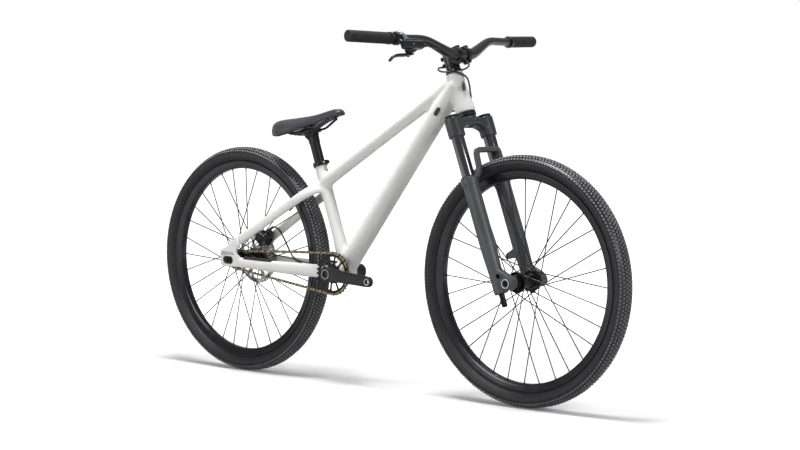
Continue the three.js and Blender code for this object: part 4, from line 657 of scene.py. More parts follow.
# Rubber and plastic trim on the frame: a strip on the right chainstay against chain slap, oval
# plugs where the hoses enter, and the plug of the unused port on the down tube's right side.
trim_rubber = surface("trim_rubber", "#151516", "#1d1d1f", (0.55, 0.72), grain=1100, relief=0.15)
strip_rings = []
strip_rows = flowing(chainstay_line(), 8)
for i, row in enumerate(strip_rows):
    if not -470 < row[0] < -352:
        continue
    along = (Vector(strip_rows[i + 1][:3]) - Vector(strip_rows[i - 1][:3])).normalized()
    side = (Vector((0, 1, 0)) - along * along.y).normalized()
    rise = along.cross(side)
    if rise.z < 0:
        rise = -rise
    outer = oval(Vector(row[:3]), side, rise, row[3] + 0.8, row[4] + 8, 64, 2.8)
    inner = oval(Vector(row[:3]), side, rise, row[3] + 0.4, row[4] + 0.4, 64, 2.8)
    strip_rings.append(outer[7:25] + inner[7:25][::-1])
finished("chainstay_strip", [mirrored(loft(strip_rings))], "frame", trim_rubber)


def oval_plug(long, tall, low, high, hole=None):
    """A rubber or plastic plug of a cable port, with a hole for a hose if it has one."""
    holes = [ring_points(hole / 2, 16)] if hole else []
    return plate(slot_shape(tall / 2, (long - tall) / 2, 12), low, high, 0.7, holes)


down_way = (on_steer_axis(down_tube_joint) - bottom_bracket).normalized()
port_at = Vector(steer @ Vector((-74, 0, 31))) / mm
port_place = frame_at(port_at, down_way, (0, 1, 0))
port_black = surface("port_black", "#060606", "#0d0d0e", (0.5, 0.62), clouds=20, grain=900)
finished("down_tube_port_left", [oval_plug(21, 11, 26.4, 30.6, 5.4)], "frame", port_black,
         place=port_place)
finished("down_tube_port_right", [mirrored(oval_plug(27, 12, 26.0, 30.2))], "frame", port_black,
         place=port_place)
entry_at = rear_axle + Vector((190, 0, -6))
entry_way = (bottom_bracket - rear_axle).normalized()
finished("chainstay_port", [oval_plug(16, 9, 52.5, 56.4)], "frame", trim_rubber,
         place=frame_at(entry_at, entry_way, (0, 1, 0)))

# Wheels: each is a black anodised double-wall rim laced three-cross with 32 black spokes to a
# hub shell, and a 58 mm tyre. Everything that repeats round the axle is one unit, copied by a
# tree. A wheel's local Z points to the rider's left.


round_the_axle = bpy.data.node_groups.new("round_the_axle", "GeometryNodeTree")
round_the_axle.interface.new_socket("Geometry", in_out="OUTPUT", socket_type="NodeSocketGeometry")
for label, kind in (("Unit", "Geometry"), ("Count", "Int"), ("Finish", "Material")):
    round_the_axle.interface.new_socket(label, in_out="INPUT", socket_type="NodeSocket" + kind)
given = round_the_axle.nodes.new("NodeGroupInput").outputs
spots = put(round_the_axle, "GeometryNodePoints", {"Count": given["Count"]})
share = put(round_the_axle, "ShaderNodeMath", {0: tau, 1: given["Count"]}, operation="DIVIDE")
place_number = put(round_the_axle, "GeometryNodeInputIndex")
turn = put(round_the_axle, "ShaderNodeMath", {0: place_number, 1: share}, operation="MULTIPLY")
way = put(round_the_axle, "ShaderNodeCombineXYZ", {"Z": turn})
copies = put(round_the_axle, "GeometryNodeInstanceOnPoints", {
    "Points": spots, "Instance": given["Unit"], "Rotation": way,
})
real = put(round_the_axle, "GeometryNodeRealizeInstances", {"Geometry": copies})
dressed = put(round_the_axle, "GeometryNodeSetMaterial", {
    "Geometry": real, "Material": given["Finish"],
})
put(round_the_axle, "NodeGroupOutput", {0: dressed})


def both_sides(half):
    """A closed section from its left half, listed from the middle of the inner face outwards."""
    return half + [(radius, -out) for radius, out in half[::-1] if out] + [half[0]]


rim_section = both_sides([
    (277, 0), (277, 8), (277.6, 9.4), (279.4, 10.6), (286, 12.6), (291, 13.2), (296, 15),
    (298.4, 15), (299, 14.4), (299, 13), (298.4, 12.5), (291, 12.5), (289, 9), (288, 4), (288, 0),
])
tyre_half = [(293.4, 0), (293.4, 9)] + [tuple(row) for row in flowing([
    (293.6, 11.8), (297, 12.2), (300.5, 12.6), (303, 15.6), (304.2, 17.8), (308, 21.6),
    (310, 23.4), (310.6, 24.4), (311.6, 24.9), (312.4, 24.7), (316, 26.6), (320.4, 28),
    (325, 27.6), (329.2, 25.2), (333, 21.6), (336, 16), (337.7, 8), (338.2, 0),
], 3)]
tread_base = [(337.9, 0), (337.9, 8.1), (336, 16.4), (333, 21.9), (329.2, 25.6), (326.6, 27.1),
              (327.4, 27.5), (329.8, 26), (333.6, 22.2), (336.4, 16.6), (338.2, 8.2), (338.7, 0)]
tread_rows = [
    (338.6, 0.0, 0.0, 5.6, 6.2), (337.8, 8.4, 0.16, 5.6, 6.2), (334.9, 16.4, 0.48, 5.4, 6.2),
    (329.4, 23.6, 0.92, 5.0, 7.0),
]
tread_count = 200
knob_height = 4.0


def knob(radius, out, lean, across, round_about, turn, side):
    """One tapered rubber block, standing on the carcass."""
    normal = Vector((cos(lean), 0, side * sin(lean)))
    over = Vector((-side * sin(lean), 0, cos(lean)))
    foot = Vector((radius, 0, side * out)) - normal * 0.9
    corners = []
    for rise, share in ((0, 1.1), (knob_height + 0.5, 0.94), (knob_height + 0.85, 0.78)):
        for a, b in ((-1, -1), (1, -1), (1, 1), (-1, 1)):
            corners.append(foot + normal * rise + Vector((0, a * round_about / 2 * share, 0))
                           + over * (b * across / 2 * share))
    spin = Matrix.Rotation(turn, 4, "Z")
    return loft([[spin @ c for c in corners[i:i + 4]] for i in (0, 4, 8)])


tread_unit = []
for row, (radius, out, lean, across, round_about) in enumerate(tread_rows):
    half_pitch = (row % 2) * pi / tread_count
    for side in (1, -1) if out else (1,):
        tread_unit.append(knob(radius, out, lean, across, round_about, half_pitch, side))

spoke_units = 8
spoke_step = tau / (2 * spoke_units)
spoke_width = 3.1
flange_circle, nipple_circle = 27, 277.2
crossings = 3


def spoke_unit(flange_left, flange_right):
    """Four spokes, their heads and their nipples: two on each side, one leading, one trailing."""
    steel, brass = [], []
    for side, flange in ((1, flange_left), (-1, flange_right)):
        for i in (0, 1):
            hole = spoke_step * (i + (0 if side > 0 else 0.5))
            sense = 1 if i % 2 else -1
            end = hole + sense * crossings * spoke_step
            off = flange + sense * 1.9
            start = Vector((flange_circle * cos(hole), flange_circle * sin(hole), off))
            stop = Vector((nipple_circle * cos(end), nipple_circle * sin(end), side * 2))
            way = (stop - start).normalized()
            steel.append(rod(start, stop - way * 9, spoke_width, 8))
            head = Vector((start.x, start.y, flange - sense * 3.6))
            steel.append(rod(head, start, 2.6, 8))
            steel.append(rod(head, head + Vector((0, 0, sense * 0.9)), 4.2, 10))
            rows = [(-12.5, 2.9), (-11.5, 3.3), (-4, 3.3), (-3.2, 4.0), (0.8, 4.4)]
            brass.append(swept([(*(stop + way * t), w, w) for t, w in rows], 10, steps=1,
                               level=(0, 0, 1)))
    return steel, brass


rim_black = surface("rim_black", "#2a2a2d", "#38383b", (0.16, 0.26), 0.7, clouds=9, grain=1200,
                    relief=0.05)
hub_black = surface("hub_black", "#131314", "#1d1d1f", (0.22, 0.36), 0.7, clouds=20,
                    relief=0.04)
spoke_black = surface("spoke_black", "#0b0b0c", "#131314", (0.4, 0.5), clouds=40, grain=900)
nipple_black = surface("nipple_black", "#0c0c0d", "#151516", (0.3, 0.4), clouds=40, grain=900)
bright_steel = surface("bright_steel", "#a3a5a7", "#c3c5c7", (0.22, 0.36), 1.0, clouds=30,
                       grain=1800, relief=0.05)
tyre_rubber = surface("tyre_rubber", "#121214", "#1a1a1c", (0.5, 0.64), 0.0, clouds=11,
                      grain=700, relief=0.12, spots=("#242427", 260, 0.16))
# The knobs are painted a light grey, though they are the casing's black rubber: painted highlight on
# their tops.
tread_rubber_painted_highlight = surface("tread_rubber_painted_highlight", "#5c5c62", "#76767d", (0.5, 0.66), 0.0, clouds=15,
                       grain=700, relief=0.12, sheen=0.1)


def hub_outline(low, high, flange_low, flange_high, end_radius, bore):
    return [
        (bore, low), (end_radius - 1, low), (end_radius, low + 1), (end_radius, flange_low - 2.8),
        (28.2, flange_low - 2.8), (29, flange_low - 2), (29, flange_low + 2),
        (28.2, flange_low + 2.8), (23, flange_low + 4), (18.6, flange_low + 8.4),
        (17.4, flange_low + 15), (17.4, flange_high - 15), (18.6, flange_high - 8.4),
        (23, flange_high - 4), (28.2, flange_high - 2.8), (29, flange_high - 2),
        (29, flange_high + 2), (28.2, flange_high + 2.8), (end_radius, flange_high + 2.8),
        (end_radius, high - 1), (end_radius - 1, high), (bore, high), (bore, low),
    ]


def valve_parts(angle):
    stem = lathe([(0, 241), (1.2, 241), (1.6, 242), (1.6, 246), (2.6, 246.5), (2.6, 252), (3, 252.6),
                  (3, 272), (4.6, 272.4), (4.6, 275.6), (3.2, 276.2), (3.2, 279), (0, 279)], 16)
    turn = Matrix.Rotation(radians(angle), 4, "Z") @ Matrix.Rotation(pi / 2, 4, "Y")
    return [turned_by(stem, turn)]


for end_name, place, flanges, valve_angle, outline in (
    ("front", front_wheel_place, (33.6, -33.6), -129.375,
     hub_outline(-49.6, 49.6, -33.6, 33.6, 22, 10.4)),
    ("rear", rear_wheel_place, (34, -29), -39.375, hub_outline(-35, 58.1, -29, 34, 21, 6.4)),
):
    wheel = end_name + "_wheel"
    finished(end_name + "_rim_hoop", [lathe(rim_section, 180)], wheel, rim_black,
             [end_name + "_rim"], place)
    finished(end_name + "_valve", valve_parts(valve_angle), wheel, hub_black, place=place)
    finished(end_name + "_tyre_casing", [lathe(both_sides(tyre_half), 216)], wheel, tyre_rubber,
             [end_name + "_tyre"], place)
    # The base between the knobs takes the darker nipple black: painted shade in the gaps.
    finished(end_name + "_tread_base", [lathe(both_sides(tread_base), 144)], wheel, nipple_black,
             place=place)
    finished(end_name + "_tyre_tread", tread_unit, wheel, tread_rubber_painted_highlight,
             place=place, angle=20, repeats=tread_count)
    steel, brass = spoke_unit(*flanges)
    finished(end_name + "_spokes", steel, wheel, spoke_black, place=place,
             repeats=spoke_units)
    finished(end_name + "_nipples", brass, wheel, nipple_black, place=place,
             repeats=spoke_units)
    finished(end_name + "_hub_shell", [lathe(outline, 96)], wheel, hub_black,
             [end_name + "_hub_and_spokes"], place)

# Rear axle: a hollow steel axle with its shoulders against the dropouts. On each side a black
# block fills the slot and slides along it to tension the chain, under a bolt with a hex socket.
axle_half = [
    (5.8, 0), (5.8, 58.4), (9.6, 58.4), (10, 58.9), (10, 66.8), (9.6, 67.2), (6, 67.2), (6, 72.5),
    (8.4, 72.5), (9, 73.1), (9, 75.9), (8.4, 76.5), (4.4, 76.5), (4.4, 73), (0, 73),
]
axle_parts = [lathe(axle_half, 48), turned_by(lathe(axle_half, 48), Matrix.Rotation(pi, 4, "X"))]
finished("rear_axle_bolt", axle_parts, "frame", hub_black, ["rear_axle"],
         rear_wheel_place)
insert_left = plate(slot_shape(11.6, slot_run), 67.6, 72.2, 0.6, [ring_points(6.2, 24)])
insert_screw = plate(ring_points(2.6, 16, centre=(16.6, 0)), 71.8, 73.6, 0.4)
blocks = [turned_by(part, Matrix.Translation(rear_axle)) for part in (insert_left, insert_screw)]
finished("slot_blocks", blocks + [mirrored(part) for part in blocks], "frame", nipple_black)

# Brake rotor: a 160 mm stainless disc of six swept arms inside a drilled band, on the hub's
# left end. The band and the arms are cut from one plate.
rotor_arms = 6
rotor_windows = []
for arm in range(rotor_arms):
    start = tau * arm / rotor_arms
    rotor_windows.append(rounded(
        [(66 * cos(start + 0.3 + t), 66 * sin(start + 0.3 + t)) for t in (0, 0.28, 0.56, 0.84)]
        + [(29.5 * cos(start + t), 29.5 * sin(start + t)) for t in (0.8, 0.4, 0.02)], 4))
hole_count = 30
hole_rings = [ring_points(radius, hole_count) for radius in (70.5, 73.2, 75.9)]
rotor_windows += [ring_points(1.9, 10, centre=hole_rings[hole % 3][hole])
                  for hole in range(hole_count)]
rotor_edge = [((79.3 + 0.7 * cos(12 * a)) * cos(a), (79.3 + 0.7 * cos(12 * a)) * sin(a))
              for a in (tau * k / 180 for k in range(180))]
rotor_windows.append(ring_points(21.8, 48)[::-1])
rotor_steel = surface("rotor_steel", "#9b9da0", "#b9bbbd", (0.26, 0.4), 1.0, clouds=26,
                      grain=2400, relief=0.1)
finished("brake_rotor_disc", [plate(rotor_edge, 51.1, 52.9, 0.25, rotor_windows, flat_xz=False)],
         "rear_wheel", rotor_steel, ["brake_rotor"], rear_wheel_place)
lock_ring = lathe([(21.4, 53.1), (24.6, 53.1), (25, 53.6), (25, 55.2), (24, 55.8), (21.4, 55.8),
                   (21.4, 53.1)], 48)
finished("rotor_lock_ring", [lock_ring], "rear_wheel", hub_black,
         place=rear_wheel_place)

# Drivetrain: a half-inch chain of 86 links with gold plates over dark rollers, seated tooth by
# tooth on a 30-tooth spoked chainring and a 13-tooth cog. The cranks are forged arms on a
# hollow spindle that turns in two press-fit cups.
pitch = 12.7
chain_out = -45.0
ring_teeth, cog_teeth, link_count = 30, 13, 86
ring_radius = pitch / 2 / sin(pi / ring_teeth)
cog_radius = pitch / 2 / sin(pi / cog_teeth)
centres_angle = atan2(bottom_bracket.z - rear_axle.z, bottom_bracket.x - rear_axle.x)
chainstay_long = (bottom_bracket - rear_axle).length
lean = atan2(ring_radius - cog_radius, sqrt(chainstay_long ** 2 - (ring_radius - cog_radius) ** 2))
top_run_angle = centres_angle + pi / 2 + lean
cog_middle_angle = centres_angle + pi
on_ring = round((pi + 2 * lean) / (tau / ring_teeth))
on_cog = 2 * round((pi - 2 * lean) / (tau / cog_teeth) / 2)


def around(centre, radius, angle):
    return Vector((centre.x + radius * cos(angle), chain_out, centre.z + radius * sin(angle)))


ring_pins = [around(bottom_bracket, ring_radius, top_run_angle - i * tau / ring_teeth)
             for i in range(on_ring + 1)]
cog_pins = [around(rear_axle, cog_radius, cog_middle_angle + (on_cog / 2 - i) * tau / cog_teeth)
            for i in range(on_cog + 1)]
on_runs = link_count - on_ring - on_cog
on_lower_run = round(on_runs / 2)
on_upper_run = on_runs - on_lower_run
pins = list(ring_pins)
pins += [ring_pins[-1].lerp(cog_pins[0], i / on_lower_run)
         for i in range(1, on_lower_run)]
pins += cog_pins
pins += [cog_pins[-1].lerp(ring_pins[0], i / on_upper_run)
         for i in range(1, on_upper_run)]


to_millimetres = Matrix.Diagonal((1 / mm, 1 / mm, 1 / mm, 1))


def link_plate(a, b, low, high):
    """A waisted side plate between two pins, in the plane of the chain."""
    long = (b - a).length
    outline = ring_points(4.2, 13, -pi / 2, pi * 13 / 12, (long / 2, 0))
    outline += [(long * 0.25, 2.8), (0, 2.2), (-long * 0.25, 2.8)]
    outline += [(-x, -z) for x, z in outline[:13]]
    outline += [(-long * 0.25, -2.8), (0, -2.2), (long * 0.25, -2.8)]
    place = frame_at((a + b) / 2, b - a, (0, 1, 0))
    rings = [[Vector((x * s, y, z * s)) for x, z in outline]
             for s, y in ((0.95, low), (1, low + 0.2), (1, high - 0.2), (0.95, high))]
    corners, faces = loft(rings)
    return turned_by((corners, faces), to_millimetres @ place)


def along_y(profile, sides=48, centre=(0, 0)):
    """A skin turned about a line along local Y through the given X and Z."""
    corners, faces = lathe(profile, sides)
    return [Vector((centre[0] + c.x, c.z, centre[1] - c.y)) for c in corners], faces


def drum(at, radius, low, high, sides=16):
    """A chain's roller or pin, which lies across the bike at the chain's distance."""
    profile = barrel_shape(radius, chain_out + low, chain_out + high, 0.2)
    return along_y(profile, sides, (at.x, at.z))


gold_plates, dark_parts = [], []
for i, pin in enumerate(pins):
    after = pins[(i + 1) % len(pins)]
    low = 2.75 if i % 2 else 1.7
    plates = gold_plates if i % 2 else dark_parts
    left = link_plate(pin, after, low, low + 0.95)
    right = link_plate(pin, after, -low - 0.95, -low)
    plates += [left, right]
    dark_parts.append(drum(pin, 3.85, -1.55, 1.55, 18))
    gold_plates.append(drum(pin, 1.9, -4.3, 4.3, 12))
chain_gold = surface("chain_gold", "#7b6c54", "#a29273", (0.24, 0.38), 1.0, clouds=60,
                     relief=0.06)
chain_dark = surface("chain_dark", "#39342c", "#544c3e", (0.3, 0.45), 0.9, clouds=60,
                     relief=0.06)
finished("chain_outer_links", gold_plates, "frame", chain_gold, ["chain"])
finished("chain_inner_links", dark_parts, "frame", chain_dark)


def toothed(radius, teeth, start):
    """A sprocket's outline: a round valley for each roller and a short flat-topped tooth."""
    made = []
    step = tau / teeth
    for tooth in range(teeth):
        valley = start + tooth * step
        for turn, depth in ((-0.27, 1.2), (-0.2, -1.8), (-0.11, -3.3), (0, -3.9), (0.11, -3.3),
                            (0.2, -1.8), (0.27, 1.2), (0.4, 2.9), (0.47, 3.4), (0.53, 3.4),
                            (0.6, 2.9)):
            made.append(((radius + depth) * cos(valley + turn * step),
                         (radius + depth) * sin(valley + turn * step)))
    return made


def window(inner, outer, start, end, inner_gap, outer_gap, corner):
    """A sector-shaped opening between two radii, narrowed by half a spoke on each side."""
    a, b = inner_gap / inner, outer_gap / outer
    points = [(outer, start + b), (outer, (start + end) / 2), (outer, end - b),
              (inner, end - a), (inner, (start + end) / 2), (inner, start + a)]
    return rounded([(r * cos(t), r * sin(t)) for r, t in points], corner, 4)


crank_grey = surface("crank_graphite", "#2b2b2d", "#3a3a3c", (0.3, 0.42), 0.75, clouds=12,
                     grain=1600, relief=0.06)
ring_black = surface("ring_black", "#161617", "#222224", (0.28, 0.4), 0.6, clouds=18,
                     relief=0.05)
crank_place = frame_at(bottom_bracket)
sprocket_place = frame_at(bottom_bracket + Vector((0, chain_out, 0)))
ring_windows = [
    window(28.5, 49.6, radians(80) + tau * i / 10, radians(80) + tau * (i + 1) / 10, 3.0, 3.2, 3.4)
    for i in range(10)
]
ring_plate = plate(toothed(ring_radius, ring_teeth, top_run_angle), -0.95, 0.95, 0.3,
                   [*ring_windows, ring_points(15.3, 40)])
ring_hub = plate(ring_points(27.5, 64), -2.1, 2.1, 0.6, [ring_points(15.3, 40)])
ring_step = along_y([(50.2, -1.5), (53.2, -1.5), (53.6, -0.9), (53.6, 0.9), (53.2, 1.5), (50.2, 1.5),
                     (49.8, 0), (50.2, -1.5)], 96)
finished("chainring_disc", [ring_plate, ring_hub, ring_step], "cranks", ring_black,
         ["chainring"], sprocket_place)
cog_place = frame_at(rear_axle + Vector((0, chain_out, 0)))
cog_plate = plate(toothed(cog_radius, cog_teeth, cog_middle_angle), -0.95, 0.95, 0.25,
                  [ring_points(11.3, 32)])
sleeve = along_y([(6.6, -13), (15.2, -13), (16.3, -12), (16.3, -2.4), (17.4, -2), (17.4, 2),
                  (16.3, 2.4), (16.3, 8.6), (15.4, 9.4), (6.6, 9.4), (6.6, -13)], 48)
cog_steel = surface("cog_steel", "#4a4a4c", "#6a6a6c", (0.26, 0.38), 1.0, clouds=24,
                    relief=0.06)
finished("cog_disc", [cog_plate, sleeve], "driver", cog_steel, ["cog_and_driver"],
         cog_place)


crank_long = 169
crank_eye = (crank_long, 0)


def crank_rows():
    """Rows along the arm: place, height, thickness and how far the arm stands out."""
    made = []
    for along, height, thick, flare in (
        (-0.13, 0.62, 0.8, 0), (-0.06, 1.12, 1, 0), (0.08, 1.22, 1, 0), (0.3, 1.02, 0.96, 0.25),
        (0.7, 0.92, 0.92, 0.75), (0.98, 0.88, 0.9, 1), (1.06, 0.7, 0.86, 1), (1.09, 0.4, 0.8, 1),
    ):
        made.append((crank_long * along, 71 + 8 * flare, 0, 13.6 * thick, 36.2 * height))
    return made


def crank_arm(inner_face):
    body = swept(crank_rows(), 40, (0, 1, 0), 3.6, 6)
    boss = along_y([(0, inner_face), (19, inner_face), (20, inner_face + 1), (20, 74), (0, 74)])
    hub = along_y([(0, 62), (20.6, 62), (21.6, 64), (21.6, 77), (20.4, 78.2), (0, 78.2)])
    eye = along_y([(0, 72.6), (14.4, 72.6), (15.4, 73.6), (15.4, 85), (14.4, 85.9), (0, 85.9)],
                  48, crank_eye)
    bore = along_y(barrel_shape(7.3, 60, 95), 32, crank_eye)
    open_end = along_y(barrel_shape(15.2, 30, 90))
    return cast("arm", [body, boss, hub, eye], 1.3, 2.2, 4, [bore, open_end])


arm_turn = radians(3.6)
for side_name, inner_face, turn, mirror in (
    ("left", 42.9, pi + arm_turn, False),
    ("right", 46.4, arm_turn, True),
):
    thread = along_y([(7.0, 84.9), (9.4, 84.9), (9.6, 86.2), (9.2, 86.5), (7.3, 86.5), (7.0, 86.2),
                      (7.0, 84.9)], 40, crank_eye)
    bolt = along_y([(15.1, 77.4), (17.4, 77.4), (17.8, 78), (17.8, 78.9), (17.3, 79.3),
                    (15.6, 79.3), (15.1, 78.9), (15.1, 77.4)], 56)
    parts = [turned_by(part, Matrix.Rotation(turn, 4, "Y"))
             for part in (crank_arm(inner_face), thread, bolt)]
    arm, thread, bolt = [mirrored(part) for part in parts] if mirror else parts
    finished("crank_" + side_name + "_forging", [arm], "cranks", crank_grey,
             ["crank_arm_" + side_name], crank_place, 40)
    finished("pedal_eye_" + side_name, [thread], "cranks", bright_steel, place=crank_place)
    finished("crank_preload_ring_" + side_name, [bolt], "cranks", hub_black,
             place=crank_place)
spindle_tone = surface("spindle_tone", "#9a8c8d", "#bdb1b1", (0.24, 0.36), 1.0, clouds=30, relief=0.05)
spindle = along_y([(12, -78), (12.6, -78.6), (14.4, -78.6), (15, -78), (15, 78), (14.4, 78.6),
                   (12.6, 78.6), (12, 78), (12, -78)], 64)
finished("crank_spindle_tube", [spindle], "cranks", spindle_tone, ["crank_spindle"],
         crank_place)
spindle_plug = along_y([(0, -74), (9, -74), (9.4, -77.6), (11.6, -77.6), (11.9, -77), (11.9, -72.2),
                        (11.6, -72), (0, -72)], 40)
dark_red = surface("dark_red_nylon", "#1c0b0b", "#2a1110", (0.4, 0.55), clouds=30, grain=900)
finished("spindle_plug_right", [spindle_plug], "cranks", dark_red,
         place=crank_place)
cup = along_y([(16.4, 36.9), (21.6, 36.9), (22.6, 37.6), (23, 38.6), (23, 40.6), (22.2, 42),
               (17.4, 42.3), (16.4, 41.4), (16.4, 36.9)], 64)
cup_seal = along_y([(15.9, 37.2), (16.3, 37.2), (16.3, 41.2), (15.9, 41.2), (15.9, 37.2)], 48)
for side_name, parts in (("left", [cup, cup_seal]), ("right", [mirrored(cup), mirrored(cup_seal)])):
    finished("bottom_bracket_ring_" + side_name, parts, "frame", hub_black,
             ["bottom_bracket_cup_" + side_name], crank_place)

# Fork: a hollow forged crown on its steerer, two gloss black stanchions, and cast lowers in
# matte charcoal with a brace ahead of the stanchions, a brake post, and feet that carry the
# axle behind their front lugs. The caps, the damper knob and the foot bolt are separate.
fork_charcoal = surface("fork_charcoal", "#434447", "#535457", (0.34, 0.46), 0.15, clouds=16,
                        grain=1300, relief=0.12)
stanchion_gloss = surface("stanchion_gloss", "#5c5b5e", "#6a686b", (0.09, 0.15), 1.0, clouds=30,
                          grain=2600, relief=0.02)
crown_black = surface("crown_black", "#2f3033", "#3d3e41", (0.34, 0.45), 0.2, clouds=16,
                      grain=1300, relief=0.1)
leg_ahead, leg_out = 3.0, 69.0


def post(profile, ahead=0.0, out=0.0, sides=56):
    """A skin turned about a line along local Z."""
    corners, faces = lathe(profile, sides)
    return [c + Vector((ahead, out, 0)) for c in corners], faces


def drilled(radius, low, high):
    return post(barrel_shape(radius, low, high), sides=40)


def on_leg(profile, side, sides=56):
    """A skin turned about the middle line of one leg; its side is 1 on the left, -1 on the right."""
    return post(profile, leg_ahead, side * leg_out, sides)


crown_parts = [post([(0, -30), (20, -30), (26.4, -24), (27, -22), (27, -18.4), (26.4, -17.8),
                     (25, -17.8), (24.4, -12.6), (23.8, -12), (0, -12)])]
for side in (1, -1):
    crown_parts.append(on_leg([(0, -71), (22.4, -71), (23.2, -70.2), (23.5, -67), (23.5, -22),
                               (23, -17.4), (22, -16), (0, -16)], side))
bridge = [(leg_ahead * abs(out), leg_out * out, -27 - 30 * drop, 46 * wide, 27 * tall)
          for out, drop, wide, tall in ((-0.9, 0.45, 0.8, 1.5), (-0.5, 0.1, 0.88, 1.06),
                                        (0, 0, 1, 1), (0.5, 0.1, 0.88, 1.06),
                                        (0.9, 0.45, 0.8, 1.5))]
crown_parts.append(swept(bridge, 40, (1, 0, 0), 3.0, 8))
crown_bores = [on_leg(barrel_shape(radius, low, high), side, 40)
               for radius, low, high in ((18.2, -80, -20), (20.4, -20, 0)) for side in (1, -1)]
crown_bores.append(drilled(11.3, -60, 20))
steerer_tube = post([(11.3, -18), (14.3, -18), (14.3, 173.4), (13.8, 174), (11.8, 174),
                     (11.3, 173.4), (11.3, -18)])
finished("fork_crown", [cast("crown", crown_parts, 1.5, 2.6, 5, crown_bores)], "steering",
         crown_black, ["fork_crown_and_steerer"], steer, 42)
finished("fork_steerer", [steerer_tube], "steering", hub_black, place=steer)
for side_name, side in (("left", 1), ("right", -1)):
    tube = on_leg([(16, -374), (17.6, -374), (18, -373), (18, -17), (16, -17), (16, -374)], side, 64)
    cap = on_leg([(0, -13.4), (6, -13.4), (6.4, -12.6), (12.6, -12.6), (13, -10.2), (17.8, -9.4),
                  (19.2, -9.6), (20, -10.6), (20, -15.6), (0, -15.6)], side, 64)
    finished("stanchion_tube_" + side_name, [tube], "steering", stanchion_gloss,
             ["stanchion_" + side_name], steer)
    finished("stanchion_cap_" + side_name, [cap], "steering", hub_black, place=steer)

leg_profile = [
    (0, -516), (17, -516), (18.6, -514.6), (19, -512), (19, -460), (20.4, -430), (21.6, -400),
    (22, -387), (22, -214), (22.8, -209), (24, -206), (24, -190), (23.4, -187.6), (22, -187),
    (0, -187),
]
brace_rows = [(0.88, -0.14, 0.2), (0.84, 0.0, 0.6), (0.75, 0.22, 0.88), (0.73, 0.55, 0.93),
              (0.71, 0.82, 0.97), (0.65, 0.97, 1), (0.5, 1, 1), (0, 1, 1)]


brace_ahead, brace_rise = 33, 68


def brace(shift, wide, tall):
    """One rib of the arch that joins the legs, from its right foot over to its left."""
    rows = [(leg_ahead + brace_ahead * a + shift, leg_out * out, -187 + brace_rise * rise, wide, tall)
            for out, rise, a in brace_rows]
    rows += [(f, -y, u, w, t) for f, y, u, w, t in rows[-2::-1]]
    return swept(rows, 24, (1, 0, 0), 3.2, 5)


axle_line = (36, -496)
foot_arc = ring_points(18.6, 15, radians(58), radians(-13 * 15), axle_line)
foot_outline = [(-9.4, -444), (12, -442), (18, -452)] + foot_arc + [(-9.4, -515.4)]
foot_rib = [(4, -446), (14, -444), (47, -476), (52, -487), (47, -484), (8, -456)]
lower_parts = [brace(0, 13, 8), brace(-5.2, 4.2, 15), brace(5.2, 4.2, 15)]
lower_cuts = []
for side in (1, -1):
    lower_parts.append(on_leg(leg_profile, side))
    foot = plate(foot_outline, 51, 79, 2.5)
    rib = plate(rounded(foot_rib, 3), 76, 82, 1)
    eye = along_y(barrel_shape(19, 50, 82, 1.4), 48, axle_line)
    for part in (foot, rib, eye):
        lower_parts.append(part if side > 0 else mirrored(part))
    lower_cuts.append(on_leg(barrel_shape(18.3, -482, -150), side, 40))
    hole = along_y(barrel_shape(10.3, 40, 95), 40, axle_line)
    pocket = plate(rounded([(13, -464), (22, -463), (30, -474), (21, -478), (13, -474)], 3), 78, 90)
    for part in (hole, pocket):
        lower_cuts.append(part if side > 0 else mirrored(part))
brake_post = (-44, -404)
post_arm = plate(rounded([(3, -380), (-30, -392), (-51, -396), (-51, -412), (-30, -414),
                          (3, -428)], 5), 63.5, 74.5, 1.4)
post_eye = along_y(barrel_shape(8, 63, 75, 0.6), 32, brake_post)
lower_parts += [post_arm, post_eye]
lower_cuts.append(along_y(barrel_shape(3, 55, 85), 24, brake_post))
finished("fork_lower_casting", [cast("lowers", lower_parts, 1.9, 2.2, 5, lower_cuts)], "lowers",
         fork_charcoal, ["fork_lowers"], steer, 42)
wiper = [(18.15, -189), (22.6, -189), (23.2, -188), (23, -185.4), (20.4, -184.6), (18.15, -183.6),
         (18.15, -189)]
wipers = [on_leg(wiper, 1), on_leg(wiper, -1)]
finished("wiper_seals", wipers, "lowers", trim_rubber, place=steer)
axle_tube = along_y([(0, -70), (7, -70), (7, -82), (9.4, -82.4), (10, -81.6), (10, 81.6),
                     (9.4, 82.3), (6.4, 82.3), (6, 81), (6, 76), (0, 76)], 48, axle_line)
axle_ring = along_y([(10.2, -85.1), (12.6, -85.3), (13, -84.8), (13, -82.5), (10.2, -82.4),
                     (10.2, -85.1)], 56, axle_line)
axle_head = along_y([(0, -80), (3.4, -80), (3.4, -84.6), (9.8, -84.8), (10.2, -84.4),
                     (10.2, -79), (0, -79)], 40, axle_line)
finished("front_axle_tube", [axle_tube, axle_head], "lowers", hub_black,
         ["front_axle"], steer)
finished("front_axle_ring", [axle_ring], "lowers", bright_steel, place=steer)
knob_ribs = [post(barrel_shape(0.9, -549, -531), x, y, 8)
             for x, y in ring_points(7.2, 14, centre=(leg_ahead, -leg_out))]
knob_body = on_leg([(0, -552.2), (6.2, -552.2), (7.2, -551.4), (7.9, -549.5), (7.9, -529.6),
                    (7.2, -528.8), (7.2, -527.4), (7.9, -526.8), (8, -526), (8, -517.2),
                    (7.4, -516.4), (0, -516.4)], -1, 40)
finished("rebound_knob_body", [knob_body, *knob_ribs], "lowers", hub_black,
         ["rebound_knob"], steer)
foot_bolt = on_leg([(0, -519.4), (3, -519.4), (3, -524), (6.4, -524.2), (7, -523.6), (7, -517),
                    (6.6, -516.4), (0, -516.4)], 1, 32)
finished("foot_bolt_head", [foot_bolt], "lowers", hub_black, ["foot_bolt"], steer)
